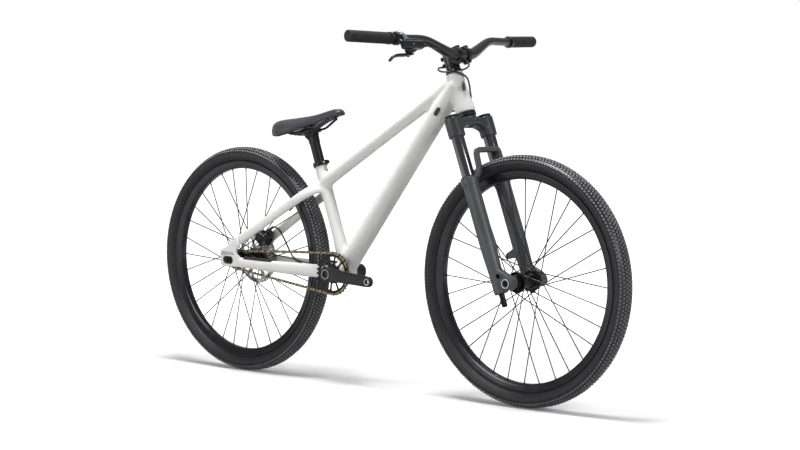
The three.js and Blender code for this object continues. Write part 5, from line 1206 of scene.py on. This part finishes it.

# Cockpit: headset rings round the steerer, a four-bolt stem, a raised and swept bar with lock-on
# grips, and the rear brake's lever on the right. The lever's band and reservoir are one casting,
# with a hinge, and its blade is another; the hinge, the reservoir's lid and a strip along its front
# are light grey as painted highlight. A small grey tag is tied to the front hose.
satin_black = surface("satin_black", "#1b1b1c", "#272728", (0.26, 0.38), 0.4, clouds=20, relief=0.06)
bar_grey = surface("bar_grey", "#37373a", "#454548", (0.24, 0.34), 0.7, clouds=14, grain=1800,
                   relief=0.05, stretch=(1, 0.2, 1))
grip_rubber = surface("grip_rubber_soft", "#121213", "#1b1b1c", (0.66, 0.82), clouds=30,
                      grain=800, relief=0.3)
headset_rings = (
    ("headset_top_cover", [(14.6, 117.4), (24.4, 117.4), (25, 118), (25, 119.6), (20.4, 125.6),
                           (19.8, 126), (14.6, 126), (14.6, 117.4)], satin_black, "anodised",
     "headset_cover"),
    ("headset_spacer_ring", [(14.6, 126.3), (19.6, 126.3), (20, 126.8), (20, 130.9), (19.7, 131.1),
                             (20, 131.3), (20, 135.5), (19.6, 136), (14.6, 136), (14.6, 126.3)],
     satin_black, "anodised", "headset_spacer"),
    ("headset_lower_ring", [(20.6, -11.6), (26.4, -11.6), (27, -11), (27, -5), (26.2, -4.2),
                            (27, -3.6), (27, -0.9), (26.6, -0.4), (20.6, -0.4), (20.6, -11.6)],
     satin_black, "anodised", "headset_cup_lower"),
    ("headset_lower_race", [(14.9, 0.6), (15.3, 0.1), (20, 0.1), (20.4, 0.6), (20.4, 11.4),
                            (20, 11.9), (15.3, 11.9), (14.9, 11.4), (14.9, 0.6)],
     bright_steel, "steel", "headset_bearing_lower"),
    ("headset_upper_race", [(14.9, 105.6), (15.3, 105.1), (20, 105.1), (20.4, 105.6),
                            (20.4, 116.4), (20, 116.9), (15.3, 116.9), (14.9, 116.4),
                            (14.9, 105.6)], bright_steel, "steel", "headset_bearing_upper"),
)
for ring_name, profile, material, slot_name, stands_for in headset_rings:
    body = "steering" if stands_for in ("headset_cover", "headset_spacer") else "frame"
    finished(ring_name, [post(profile)], body, material, [stands_for], steer)

clamp_at = Vector((40, 0, 155))


def bent(rows, reach, steps=8):
    """Straight runs between the rows, with each inner corner rounded over the given reach."""
    rows = [Vector(row) for row in rows]
    made = [rows[0]]
    for before, here, after in zip(rows, rows[1:], rows[2:]):
        spans = [(Vector(p[:3]) - Vector(here[:3])).length for p in (before, after)]
        a = here.lerp(before, min(0.48, reach / spans[0]))
        b = here.lerp(after, min(0.48, reach / spans[1]))
        for s in range(steps + 1):
            t = s / steps
            made.append(a * (1 - t) ** 2 + here * (2 * t * (1 - t)) + b * t * t)
    return made + [rows[-1]]


def cut_box(low, high):
    corners = [Vector((x, y, z)) for z in (low[2], high[2])
               for x, y in ((low[0], low[1]), (high[0], low[1]), (high[0], high[1]),
                            (low[0], high[1]))]
    return loft([corners[:4], corners[4:]])


clamp_line = (clamp_at.x, clamp_at.z)
barrel = along_y(barrel_shape(22.8, -25, 25, 1), 72, clamp_line)
strap = along_y(barrel_shape(21.6, 11.5, 24, 1), 72, clamp_line)
bar_bore = along_y(barrel_shape(16.1, -60, 60), 64, clamp_line)
column = post([(0, 136.4), (19.2, 136.4), (20, 137.2), (20, 173), (19.2, 173.9), (0, 173.9)])
neck = swept([(0, 0, 155, 31, 31.5), (18, 0, 155, 33, 35), (40, 0, 155, 41, 40)], 40, (0, 1, 0),
             3.4, 6)
stem_cuts = [cut_box((39.7, -60, 100), (90, 60, 220)), bar_bore, drilled(14.5, 120, 200),
             cut_box((-40, -0.9, 130), (-10, 0.9, 180))]
stem_lugs = [cut_box((-27.5, -9, u - 5.5), (-12, 9, u + 5.5)) for u in (146, 165)]
stem_ears = [cut_box((30, 12, low), (39, 23.5, low + 8.5)) for low in (171.5, 130)]
stem_parts = [barrel, column, neck, *stem_lugs, *stem_ears, *(mirrored(e) for e in stem_ears)]
finished("stem_body_forging", [cast("stem", stem_parts, 1.0, 1.6, 4, stem_cuts)],
         "steering", satin_black, ["stem_body"], steer, 40)
strap_ears = [cut_box((34, 12, low), (50, 23.5, low + 8.5)) for low in (171.5, 130)]
strap_parts = [strap, *strap_ears]
strap_parts += [mirrored(part) for part in strap_parts]
face_cuts = [cut_box((-10, -60, 100), (40.3, 60, 220)), bar_bore]
finished("stem_face_straps", [cast("face", strap_parts, 0.9, 0.8, 3, face_cuts)], "steering",
         satin_black, ["stem_faceplate"], steer, 40)


def cap_screw(at, way, width, depth):
    """A round-headed screw with a six-sided socket, its head standing out along the given way."""
    half = width / 2
    sock = half * 0.56
    head = lathe([(0, depth * 0.45), (sock, depth * 0.45), (sock, depth), (half * 0.8, depth),
                  (half, depth * 0.82), (half, 0), (0, 0)], 24)
    way = Vector(way).normalized()
    side = way.orthogonal().normalized()
    turn = Matrix((side, way.cross(side), way)).transposed().to_4x4()
    return turned_by(head, Matrix.Translation(at) @ turn)


stem_screws = [cap_screw((49.8, out, up), (1, 0, 0), 7, 3.6)
               for out in (17.8, -17.8) for up in (176, 134.4)]
stem_screws += [cap_screw((-23.5, -8.8, u), (0, -1, 0), 6.4, 2.6) for u in (146, 165)]
finished("stem_screws", stem_screws, "steering", hub_black, place=steer)
top_cap = post([(0, 176.4), (4, 176.4), (4.2, 179.4), (5.2, 180.2), (16.4, 180.2), (17.6, 179.4),
                (18, 178), (18, 174.8), (17.6, 174.4), (0, 174.4)])
finished("stem_cap", [top_cap], "steering", satin_black, ["stem_top_cap"], steer)


bar_back, bar_reach, bar_rise = 40, 396, 62.7


def on_bar(out, back, up, girth):
    """A row of the bar's left half, as shares of its backsweep, half width and rise."""
    return (clamp_at.x - bar_back * back, bar_reach * out, clamp_at.z + bar_rise * up, girth, girth)


bar_half = [on_bar(0.11, 0, 0, 31.8), on_bar(0.35, 0, 0.7, 22.2), on_bar(0.63, 0.475, 0.805, 22.2),
            on_bar(1, 1, 1, 22.2)]
bar_rows = [(x, -y, z, w, h) for x, y, z, w, h in bar_half[::-1]] + bar_half
outer_skin = swept(bent(bar_rows, 26), 40, (1, 0, 0), steps=1)
inner_rows = [(x, y, z, w - 4.4, h - 4.4) for x, y, z, w, h in bent(bar_rows, 26)]
inner_skin = swept(inner_rows, 40, (1, 0, 0), steps=1)


def open_tube(outer, inner, sides):
    """A hollow tube from its outer and inner skins, both of which lose their end caps."""
    corners = outer[0] + inner[0]
    shift = len(outer[0])
    faces = outer[1][:-2] + [[shift + i for i in face[::-1]] for face in inner[1][:-2]]
    for start in (0, shift - sides):
        for i in range(sides):
            j = (i + 1) % sides
            face = [start + i, start + j, shift + start + j, shift + start + i]
            faces.append(face if start else face[::-1])
    return corners, faces


finished("handlebar_tube", [open_tube(outer_skin, inner_skin, 40)], "steering", bar_grey,
         ["handlebar"], steer)


def bar_tip(side):
    tip = Vector(bar_half[-1][:3])
    way = (tip - Vector(bar_half[-2][:3])).normalized()
    return Vector((tip.x, tip.y * side, tip.z)), Vector((way.x, way.y * side, way.z))


def on_end(side, profile, sides=48):
    """A skin turned about the straight end of the bar; heights run inwards from its tip."""
    tip, way = bar_tip(side)
    across = Vector((0, 0, 1)).cross(way).normalized()
    turn = Matrix((across, (-way).cross(across), -way)).transposed().to_4x4()
    return turned_by(lathe(profile, sides), Matrix.Translation(tip) @ turn)


grip_rings = [(11.4, 133.6), (15.2, 133.6), (15.9, 132.6)]
for k in range(30):
    start = 4 + k * 4.2
    grip_rings += [(15.9, 131.2 - start), (15.3, 131.0 - start), (15.3, 130.0 - start),
                   (15.9, 129.8 - start)]
grip_rings += [(15.9, 1.5), (15.9, -0.8), (15.2, -1.9), (13.6, -2.4), (11.4, -2.4),
               (11.4, 133.6)]
grip_plug = [(0, -2.0), (11.2, -2.0), (11.3, -0.8), (0, -0.8)]
lock_ring_profile = [(11.3, 142.8), (16.2, 142.8), (17, 142), (17, 134.8), (16.2, 134.1),
                     (11.3, 134.1), (11.3, 142.8)]
for side_name, side in (("left", 1), ("right", -1)):
    finished("grip_sleeve_" + side_name, [on_end(side, grip_rings), on_end(side, grip_plug)],
             "steering", grip_rubber, ["grip_" + side_name], steer, 40)
    tip, way = bar_tip(side)
    screw_at = tip - way * 138.4 + Vector((0, 0, -16.6))
    finished("grip_lock_ring_" + side_name,
             [on_end(side, lock_ring_profile), cap_screw(screw_at, (0, 0, -1), 4.4, 0.3)],
             "steering", satin_black, place=steer)


def rows_from(anchor, rows):
    """Rows of x, y, z, width, height, with their places counted from an anchor."""
    return [(*(anchor + Vector(row[:3])), *row[3:]) for row in rows]


lever_ring = Vector((23.05, -235.2, 204.28))
lever_box = lever_ring + Vector((27, 0, -27))
lever_pivot = lever_box + Vector((-13.5, 22, -22))
band_shape = on_end(-1, barrel_shape(18, 156, 170, 0.8)[::-1])
link = rod(lever_ring.lerp(lever_box, 0.25), lever_box, 14, 28)
tank = swept(rows_from(lever_box, [
    (0, 69.5, 0, 15, 15), (0, 63, 0, 21, 22), (0, 58, 0, 24, 25), (0, 20, 0, 24, 25),
    (0, -6, 0, 23, 24), (0, -11.5, 0, 18, 19),
]), 40, (1, 0, 0), 4.0, 5)
ears = [cut_box(lever_pivot + Vector((f, -5.5, -5.5)), lever_pivot + Vector((f + 3, 5.5, 14)))
        for f in (-9.8, 6.8)]
band_bore = on_end(-1, barrel_shape(11.4, 120, 200)[::-1], 40)
roof = swept(rows_from(lever_pivot, [
    (0, -7, 12.5, 19.6, 6), (0, 2, 12, 19.6, 9), (0, 14, 10, 19.6, 12), (0, 24, 12, 19.6, 8),
]), 24, (1, 0, 0), 3.6, 4)
hinge = swept(rows_from(lever_ring, [
    (-2, 0, 15, 10, 7), (12, 2, 12, 11, 8), (21, 6, 2, 12, 9), (27, 12, -16, 13, 10),
]), 24, (1, 0, 0), 3.0, 5)
knuckle = rod(lever_ring + Vector((-2, -7, 17)), lever_ring + Vector((-2, 7, 17)), 8, 24)
blade_room = cut_box(lever_pivot + Vector((-14, -70, -10)), lever_pivot + Vector((3.4, -8, 14)))
lever_cast = cast("lever", [band_shape, link, tank, roof, *ears], 0.9, 1.0, 4,
                  [band_bore, blade_room])
hinge_cast = cast("hinge", [hinge, knuckle], 0.9, 0.8, 3, [band_bore])
finished("lever_casting", [lever_cast], "steering", satin_black,
         ["brake_lever_body"], steer, 40)
# The lid on the reservoir's top and the strip along its front are thin light grey sheets: painted
# highlight for bright lines along the black reservoir's edges.
tank_lid = plate(rounded([(-9.5, -6), (9.5, -6), (9.5, 52), (-9.5, 52)], 2), 12.2, 13.9, 0.5,
                 flat_xz=False)
tank_lid = turned_by(tank_lid, Matrix.Translation(lever_box))
tank_highlight_strip = cut_box(lever_box + Vector((11.6, -6, 5.2)), lever_box + Vector((13.1, 58, 7.4)))
lid_screws = [cap_screw(lever_box + Vector((0, y, 12.9)), (0, 0, 1), 4.6, 1.8) for y in (-2, 48)]
lid_screws += [cap_screw(lever_box + Vector((11.7, 18, -2.5)), (1, 0, 0), 5.2, 1.4),
               cap_screw(lever_ring + Vector((18, 0, 6)), (0.7, 0, 0.7), 5.6, 2.4)]
pivot_pin = rod(lever_pivot + Vector((-10.6, 0, 0)), lever_pivot + Vector((10.6, 0, 0)), 5.6, 24)
# Painted highlight: the lid, the strip and the hinge are light grey to stand for bright lines on the
# black lever.
lever_highlight_grey = surface("lever_highlight_grey", "#77797d", "#8f9195", (0.26, 0.36), 0.7, clouds=30)
finished("lever_highlight_parts", [tank_lid, tank_highlight_strip, hinge_cast], "steering", lever_highlight_grey,
         place=steer)
finished("lever_screws", [*lid_screws, pivot_pin], "steering", bright_steel, place=steer)
blade_rows = [(*(lever_pivot + Vector((-18 * b, -70 * r, -18 * d))), wide, tall)
              for r, b, d, wide, tall in (
                  (-0.08, 0, 0, 9, 7), (0, 0, 0, 11, 8.6), (0.28, 0.24, 0.07, 10.6, 9),
                  (0.62, 0.34, 0.1, 10.6, 8.6), (0.86, 0.5, 0.3, 11, 7.8),
                  (0.95, 0.8, 0.58, 10, 6.8), (1, 1, 0.78, 8, 6))]
blade = swept(blade_rows, 28, (1, 0, 0), 3.0, 8, dome=1.2)
blade_hole = rod(lever_pivot - Vector((20, 0, 0)), lever_pivot + Vector((20, 0, 0)), 5.8, 24)
finished("lever_blade_forging", [cast("blade", [blade], 0.7, 0, 3, [blade_hole])], "lever",
         bar_grey, ["brake_lever_blade"], steer, 40)
hose_nut = rod(lever_box + Vector((0, 68.6, 0)), lever_box + Vector((0.3, 80, -3)), 8, 6)
finished("hose_nut_front", [hose_nut], "steering", hub_black, place=steer)
tag_grey = surface("tag_grey", "#3b3836", "#4a4643", (0.5, 0.6), clouds=60, grain=900)
tag = swept([(25, -5, 84, 1.4, 3), (27, -7, 76, 1.6, 6), (28, -13, 66, 1.8, 13),
             (28, -16, 56, 1.8, 13)], 16, (1, 0, 0), 4.0, 3)
finished("hose_tag", [tag], "steering", tag_grey, place=steer)

# Seat: a clamp with one bolt on the seat tube's top, a straight post, a yoke that holds
# the saddle's two rails between plates, a thin moulded base, and a padded cover with a seam
# along its edge and a sewn channel down its middle.
seat_side = Vector((0.942057, 0, 0.335452))
seat = frame_at((-223.572, 0, 646), seat_side)
seat_black = surface("seat_black", "#161617", "#212122", (0.3, 0.42), 0.45, clouds=20, relief=0.06)
clamp_ring = post([(18.9, -13.6), (20.8, -13.8), (21.5, -13), (21.5, -1), (20.8, -0.2),
                   (18.9, -0.2), (18.9, -13.6)], sides=72)
clamp_lug = swept([(18.6, 0, -7, 21, 12.6), (27, 0, -7, 21, 12.2), (29.8, 0, -7, 20, 9)], 32,
                  (0, 1, 0), 4.0, 4)
clamp_cuts = [cut_box((15, -0.9, -20), (40, 0.9, 6)), drilled(18.6, -30, 10)]
finished("seat_clamp_band", [cast("clamp", [clamp_ring, clamp_lug], 0.8, 0.8, 3, clamp_cuts)],
         "frame", seat_black, ["seat_clamp"], seat, 40)
clamp_screw = [cap_screw((25.6, -10.2, -7), (0, -1, 0), 6.4, 1.6),
               rod((25.6, 10.2, -7), (25.6, 11.6, -7), 6.4, 6)]
finished("seat_clamp_screw", clamp_screw, "frame", bright_steel, place=seat)
post_tube = post([(13.65, -192), (15.1, -192), (15.45, -191.4), (15.45, 60), (15.6, 61),
                  (16.2, 64), (16.2, 66), (13.65, 66), (13.65, -192)])
post_cap = swept([(0, 0, 58, 31, 31), (0, 0, 74, 31.4, 31.4), (-1, 0, 80, 36, 33),
                  (-3, 0, 87, 46, 36), (-3, 0, 92.5, 50, 38)], 40, (0, 1, 0), 2.6, 5)
cradle = along_y(barrel_shape(7, -25, 25, 1), 48, (-3, 88))
head_notch = cut_box((-10, -9, 74), (10, 9, 120))
head_cast = cast("post_head", [post_cap, cradle], 1.1, 1.2, 4, [head_notch])
finished("seatpost_tube", [post_tube, head_cast], "seat", seat_black, ["seatpost"],
         seat, 40)
saddle = seat @ Matrix.Translation((-3, 0, 99)) @ Matrix.Rotation(
    radians(19.6) - radians(9), 4, "Y")
saddle_long, saddle_half, saddle_tall = 292.0, 71.0, 48.0


rail_out, rail_rise = 22, 34


def rail_rows(side):
    shares = [(-0.36, 1.25, 0.62), (-0.3, 1.2, 0.42), (-0.22, 1.08, 0.02), (-0.14, 1, 0),
              (0.14, 1, 0), (0.27, 0.9, 0.5), (0.32, 0.75, 0.62)]
    return [(saddle_long * a, side * rail_out * s, rail_rise * r, 7, 7) for a, s, r in shares]


for side_name, side in (("left", 1), ("right", -1)):
    finished("saddle_rail_" + side_name + "_rod",
             [swept(bent(rail_rows(side), 14, 6), 20, (0, 1, 0), steps=1)], "seat", satin_black,
             ["saddle_rail_" + side_name], saddle)
yoke = swept([(-20, 0, -2.4, 46, 6), (-17, 0, -2.6, 50, 10), (17, 0, -2.6, 50, 10),
              (20, 0, -2.4, 46, 6)], 40, (0, 1, 0), 5.0, 3)
yoke_top = plate(rounded([(-20, -25), (20, -25), (20, 25), (-20, 25)], 5), 3.7, 6.4, 0.7,
                 flat_xz=False)
yoke_screw = cap_screw((0, 0, 6.2), (0, 0, 1), 9, 3.4)
finished("rail_clamp_plates", [yoke, yoke_top], "seat", seat_black, ["rail_clamp"],
         saddle, 40)
finished("rail_clamp_screw", [yoke_screw], "seat", bright_steel, place=saddle)

saddle_shares = [
    (-0.452, 0.24, 0.5, 0.26), (-0.442, 0.42, 0.68, 0.14), (-0.41, 0.62, 0.85, 0.02),
    (-0.35, 0.83, 0.95, -0.08), (-0.25, 0.98, 0.93, -0.15), (-0.13, 0.88, 0.87, -0.08),
    (0.02, 0.62, 0.84, 0.12), (0.14, 0.44, 0.88, 0.26), (0.26, 0.35, 0.95, 0.4),
    (0.36, 0.31, 1, 0.5), (0.42, 0.28, 0.97, 0.52), (0.455, 0.2, 0.86, 0.5),
    (0.47, 0.1, 0.72, 0.56),
]
saddle_rows = flowing(saddle_shares, 6)
over_shares = [(0.62, 0.27), (0.9, 0), (1, 0.12), (0.98, 0.4), (0.86, 0.72), (0.6, 0.92),
               (0.3, 0.99)]


def saddle_ring(row, shares, grow=0.0):
    """One closed section across the saddle: up its left side, over, and down its right."""
    along, spread, top, edge = row
    low, tall = saddle_tall * edge, saddle_tall * (top - edge)
    half = saddle_half * spread
    left = [(out * half, low + tall * up) for out, up in shares]
    ring = [(0, low + tall * 0.33 - grow)] + left + [(0, low + tall * 0.995)]
    ring += [(-out, up) for out, up in left[::-1]]
    return [Vector((saddle_long * along, out, up)) for out, up in ring]


cover_skin = loft([saddle_ring(row, over_shares) for row in saddle_rows])
cover = placed("cover", mesh_of("cover", [cover_skin]))
cover.data.transform(to_metres)
softened = cover.modifiers.new("even_grid", "REMESH")
softened.mode = "VOXEL"
softened.voxel_size = 0.003
relaxed = cover.modifiers.new("relaxed", "SMOOTH")
relaxed.factor, relaxed.iterations = 0.5, 12
cover_mesh = evaluated(cover)
bpy.data.objects.remove(cover)
cover_mesh.name = "saddle_cover"


swell_pressure, cover_stiffness = 4, 40
swell_frames = 12
swell_limit = 4 * mm


def swell(mesh):
    """Lets the padding press the cover out between its pinned base, as a cloth under pressure."""
    obj = placed("swelling", mesh)
    pinned = obj.vertex_groups.new(name="pinned")
    for v in mesh.vertices:
        if v.normal.z < -0.25:
            pinned.add([v.index], 1.0, "REPLACE")
    cloth = obj.modifiers.new("swelling", "CLOTH")
    cloth.settings.quality = 5
    cloth.settings.use_pressure = True
    cloth.settings.uniform_pressure_force = swell_pressure
    cloth.settings.vertex_group_mass = "pinned"
    cloth.settings.tension_stiffness = cover_stiffness
    cloth.settings.compression_stiffness = cover_stiffness
    cloth.settings.effector_weights.gravity = 0
    cloth.collision_settings.use_collision = False
    scene = bpy.context.scene
    first = [v.co.copy() for v in mesh.vertices]
    for step in range(1, swell_frames + 1):
        scene.frame_set(step)
    swollen = evaluated(obj)
    for v, rest in zip(swollen.vertices, first):
        move = v.co - rest
        if move.length > swell_limit:
            v.co = rest + move.normalized() * swell_limit
    scene.frame_set(1)
    bpy.data.objects.remove(obj)
    return swollen


cover_mesh = swell(cover_mesh)


def sewn(point):
    """Depth of the stitching at a place on the cover: along its middle and round its edge."""
    along = point.x / mm / saddle_long
    near = max(0, min(len(saddle_rows) - 2, sum(r[0] < along for r in saddle_rows) - 1))
    before, after = saddle_rows[near:near + 2]
    share = max(0.0, min(1.0, (along - before[0]) / (after[0] - before[0])))
    row = [a + (b - a) * share for a, b in zip(before, after)]
    low, tall = saddle_tall * row[3], saddle_tall * (row[2] - row[3])
    height = (point.z / mm - low) / max(tall, 1)
    depth = 0.0
    if height > 0.5:
        away = abs(point.y / mm)
        end = max(0.0, min(1.0, (0.36 - abs(along + 0.06)) / 0.1))
        depth += 2.4 * end * max(0.0, 1 - (away / 6.5) ** 2) ** 2
    seam = abs(height - 0.2) * tall
    depth += 0.5 * max(0.0, 1 - (seam / 3) ** 2)
    return depth * mm


for v in cover_mesh.vertices:
    v.co -= v.normal * sewn(v.co)
cover_mesh.transform(saddle @ to_millimetres)
cover_mesh.shade_smooth()
saddle_skin = surface("saddle_skin", "#1a1e25", "#262b33", (0.42, 0.54), 0.0, clouds=16,
                      grain=1100, relief=0.3, sheen=0.1)
cover_mesh.materials.clear()
cover_mesh.materials.append(saddle_skin)
saddle_cover = placed("saddle_cover", cover_mesh)
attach(saddle_cover, "seat")
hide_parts("saddle_cushion")


def base_ring(row):
    """A thin tray under the cover, arched up across its middle."""
    along, spread, top, edge = row
    low, tall = saddle_tall * edge, saddle_tall * (top - edge)
    half = saddle_half * spread * 0.6
    upper = [(half, low + tall * 0.26 - 0.4), (half * 0.5, low + tall * 0.31 - 0.4),
             (0, low + tall * 0.325 - 0.4)]
    upper += [(-out, up) for out, up in upper[-2::-1]]
    ring = upper + [(out, up - 3) for out, up in upper[::-1]]
    return [Vector((saddle_long * along, out, up)) for out, up in ring]


base_rows = [row for row in saddle_rows if -0.5 < row[0] < 0.44]
finished("saddle_base", [loft([base_ring(row) for row in base_rows])], "seat", seat_black,
         ["saddle_shell"], saddle, 50)

# Rear brake: a two-piece caliper over the rotor, bolted to bosses on the stays' inner side, with
# two sintered pads on steel backs, a retaining pin, a bleed screw and the hose's banjo.
caliper = frame_at((-508.262, 0, 404.629), (cos(radians(25)), 0, -sin(radians(25))))
caliper_black = surface("caliper_black", "#17181a", "#232426", (0.36, 0.48), 0.3, clouds=24, relief=0.08)
caliper_outline = rounded([(-29, -7.2, 4), (-17.4, -18, 5), (17.4, -18, 5), (29, -7.2, 4),
                           (29, 9, 4), (20.3, 18, 5), (-20.3, 18, 5), (-29, 9, 4)], 4)
halves = [plate(caliper_outline, 35.2, 47.3, 1.6), plate(caliper_outline, 52.4, 60.8, 1.6)]
bridge_block = swept([(-18, 48, 15.6, 26, 4.4), (18, 48, 15.6, 26, 4.4)], 24, power=5.0, steps=1)
pistons = [along_y([(0, 60), (10, 60), (10.6, 60.6), (10.6, 61), (0, 61)], 40, (0, -2)),
           along_y([(0, 35), (10.6, 35), (10.6, 35.6), (10, 36), (0, 36)], 40, (0, -2))]
post_feet = []
for ahead in (18, 38):
    foot = caliper.inverted() @ ((rear_axle + Vector((ahead, 0, 49))) * mm)
    post_feet.append(along_y([(0, 52.5), (6.6, 52.5), (7, 53), (7, 60), (5.5, 60.7), (5.5, 67.2),
                              (0, 67.2)], 28, (foot.x, foot.z)))
bracket_outline = [(-34, -4), (-24, -10), (2, -16), (4, -30), (-10, -36), (-30, -24)]
bracket = plate(rounded(bracket_outline, 4), 54.5, 58.5, 1.0,
                [ring_points(4, 24, centre=(-14, -24))])
fin_outline = [(2, 10), (27, 8), (37, 20), (35, 34), (24, 41), (10, 37)]
fin_plate = plate(rounded(fin_outline, 5), 38, 46.5, 1.2, [ring_points(3, 20, centre=(24, 26))])
banjo = rod((5.4, 54.6, 31.5), (16, 44, 31), 8, 20)
caliper_cut = [cut_box((-40, 47.3, -40), (40, 56.7, 13.8)), cut_box((-13, 44, 10), (13, 60, 30))]
caliper_parts = [*halves, bridge_block, fin_plate, banjo, *pistons, *post_feet]
caliper_cast = cast("caliper", caliper_parts, 0.9, 1.2, 3, caliper_cut)
finished("caliper_casting", [caliper_cast, bracket], "frame", caliper_black,
         ["brake_caliper"], caliper, 40)
pad_outline = rounded([(-13, -8), (13, -8), (13, 8), (4, 8.0), (3, 7.9), (-13, 8)], 2)
for name, low, body in (("outer", 53.4, "pad_outer"), ("inner", 47.6, "pad_inner")):
    lining, back = (low, low + 1.4) if name == "outer" else (low + 1.6, low + 3)
    steel = (low + 1.4, low + 3) if name == "outer" else (low, low + 1.6)
    finished("pad_" + name + "_lining", [plate(pad_outline, lining, back, 0.2)], body, trim_rubber,
             place=caliper)
    finished("pad_" + name + "_back", [plate(pad_outline, *steel, 0.2)], body, bright_steel,
             ["brake_pad_" + name], caliper)
caliper_pins = [rod((0, 44.5, 15), (0, 60.5, 15), 2.6, 16),
                cap_screw((14, 36, 21), (0, -1, 0), 6.4, 2.2),
                rod((-12, 34.6, 13.4), (14, 34.6, 11.6), 2.2, 12)]
caliper_pins += [cap_screw((ahead, 35.2, -6), (0, -1, 0), 6, 1.6) for ahead in (-21, 21)]
caliper_pins += [cap_screw((ahead, 60.8, 8), (0, 1, 0), 5.4, 1.2) for ahead in (-20, 20)]
finished("caliper_screws", caliper_pins, "frame", bright_steel, place=caliper)
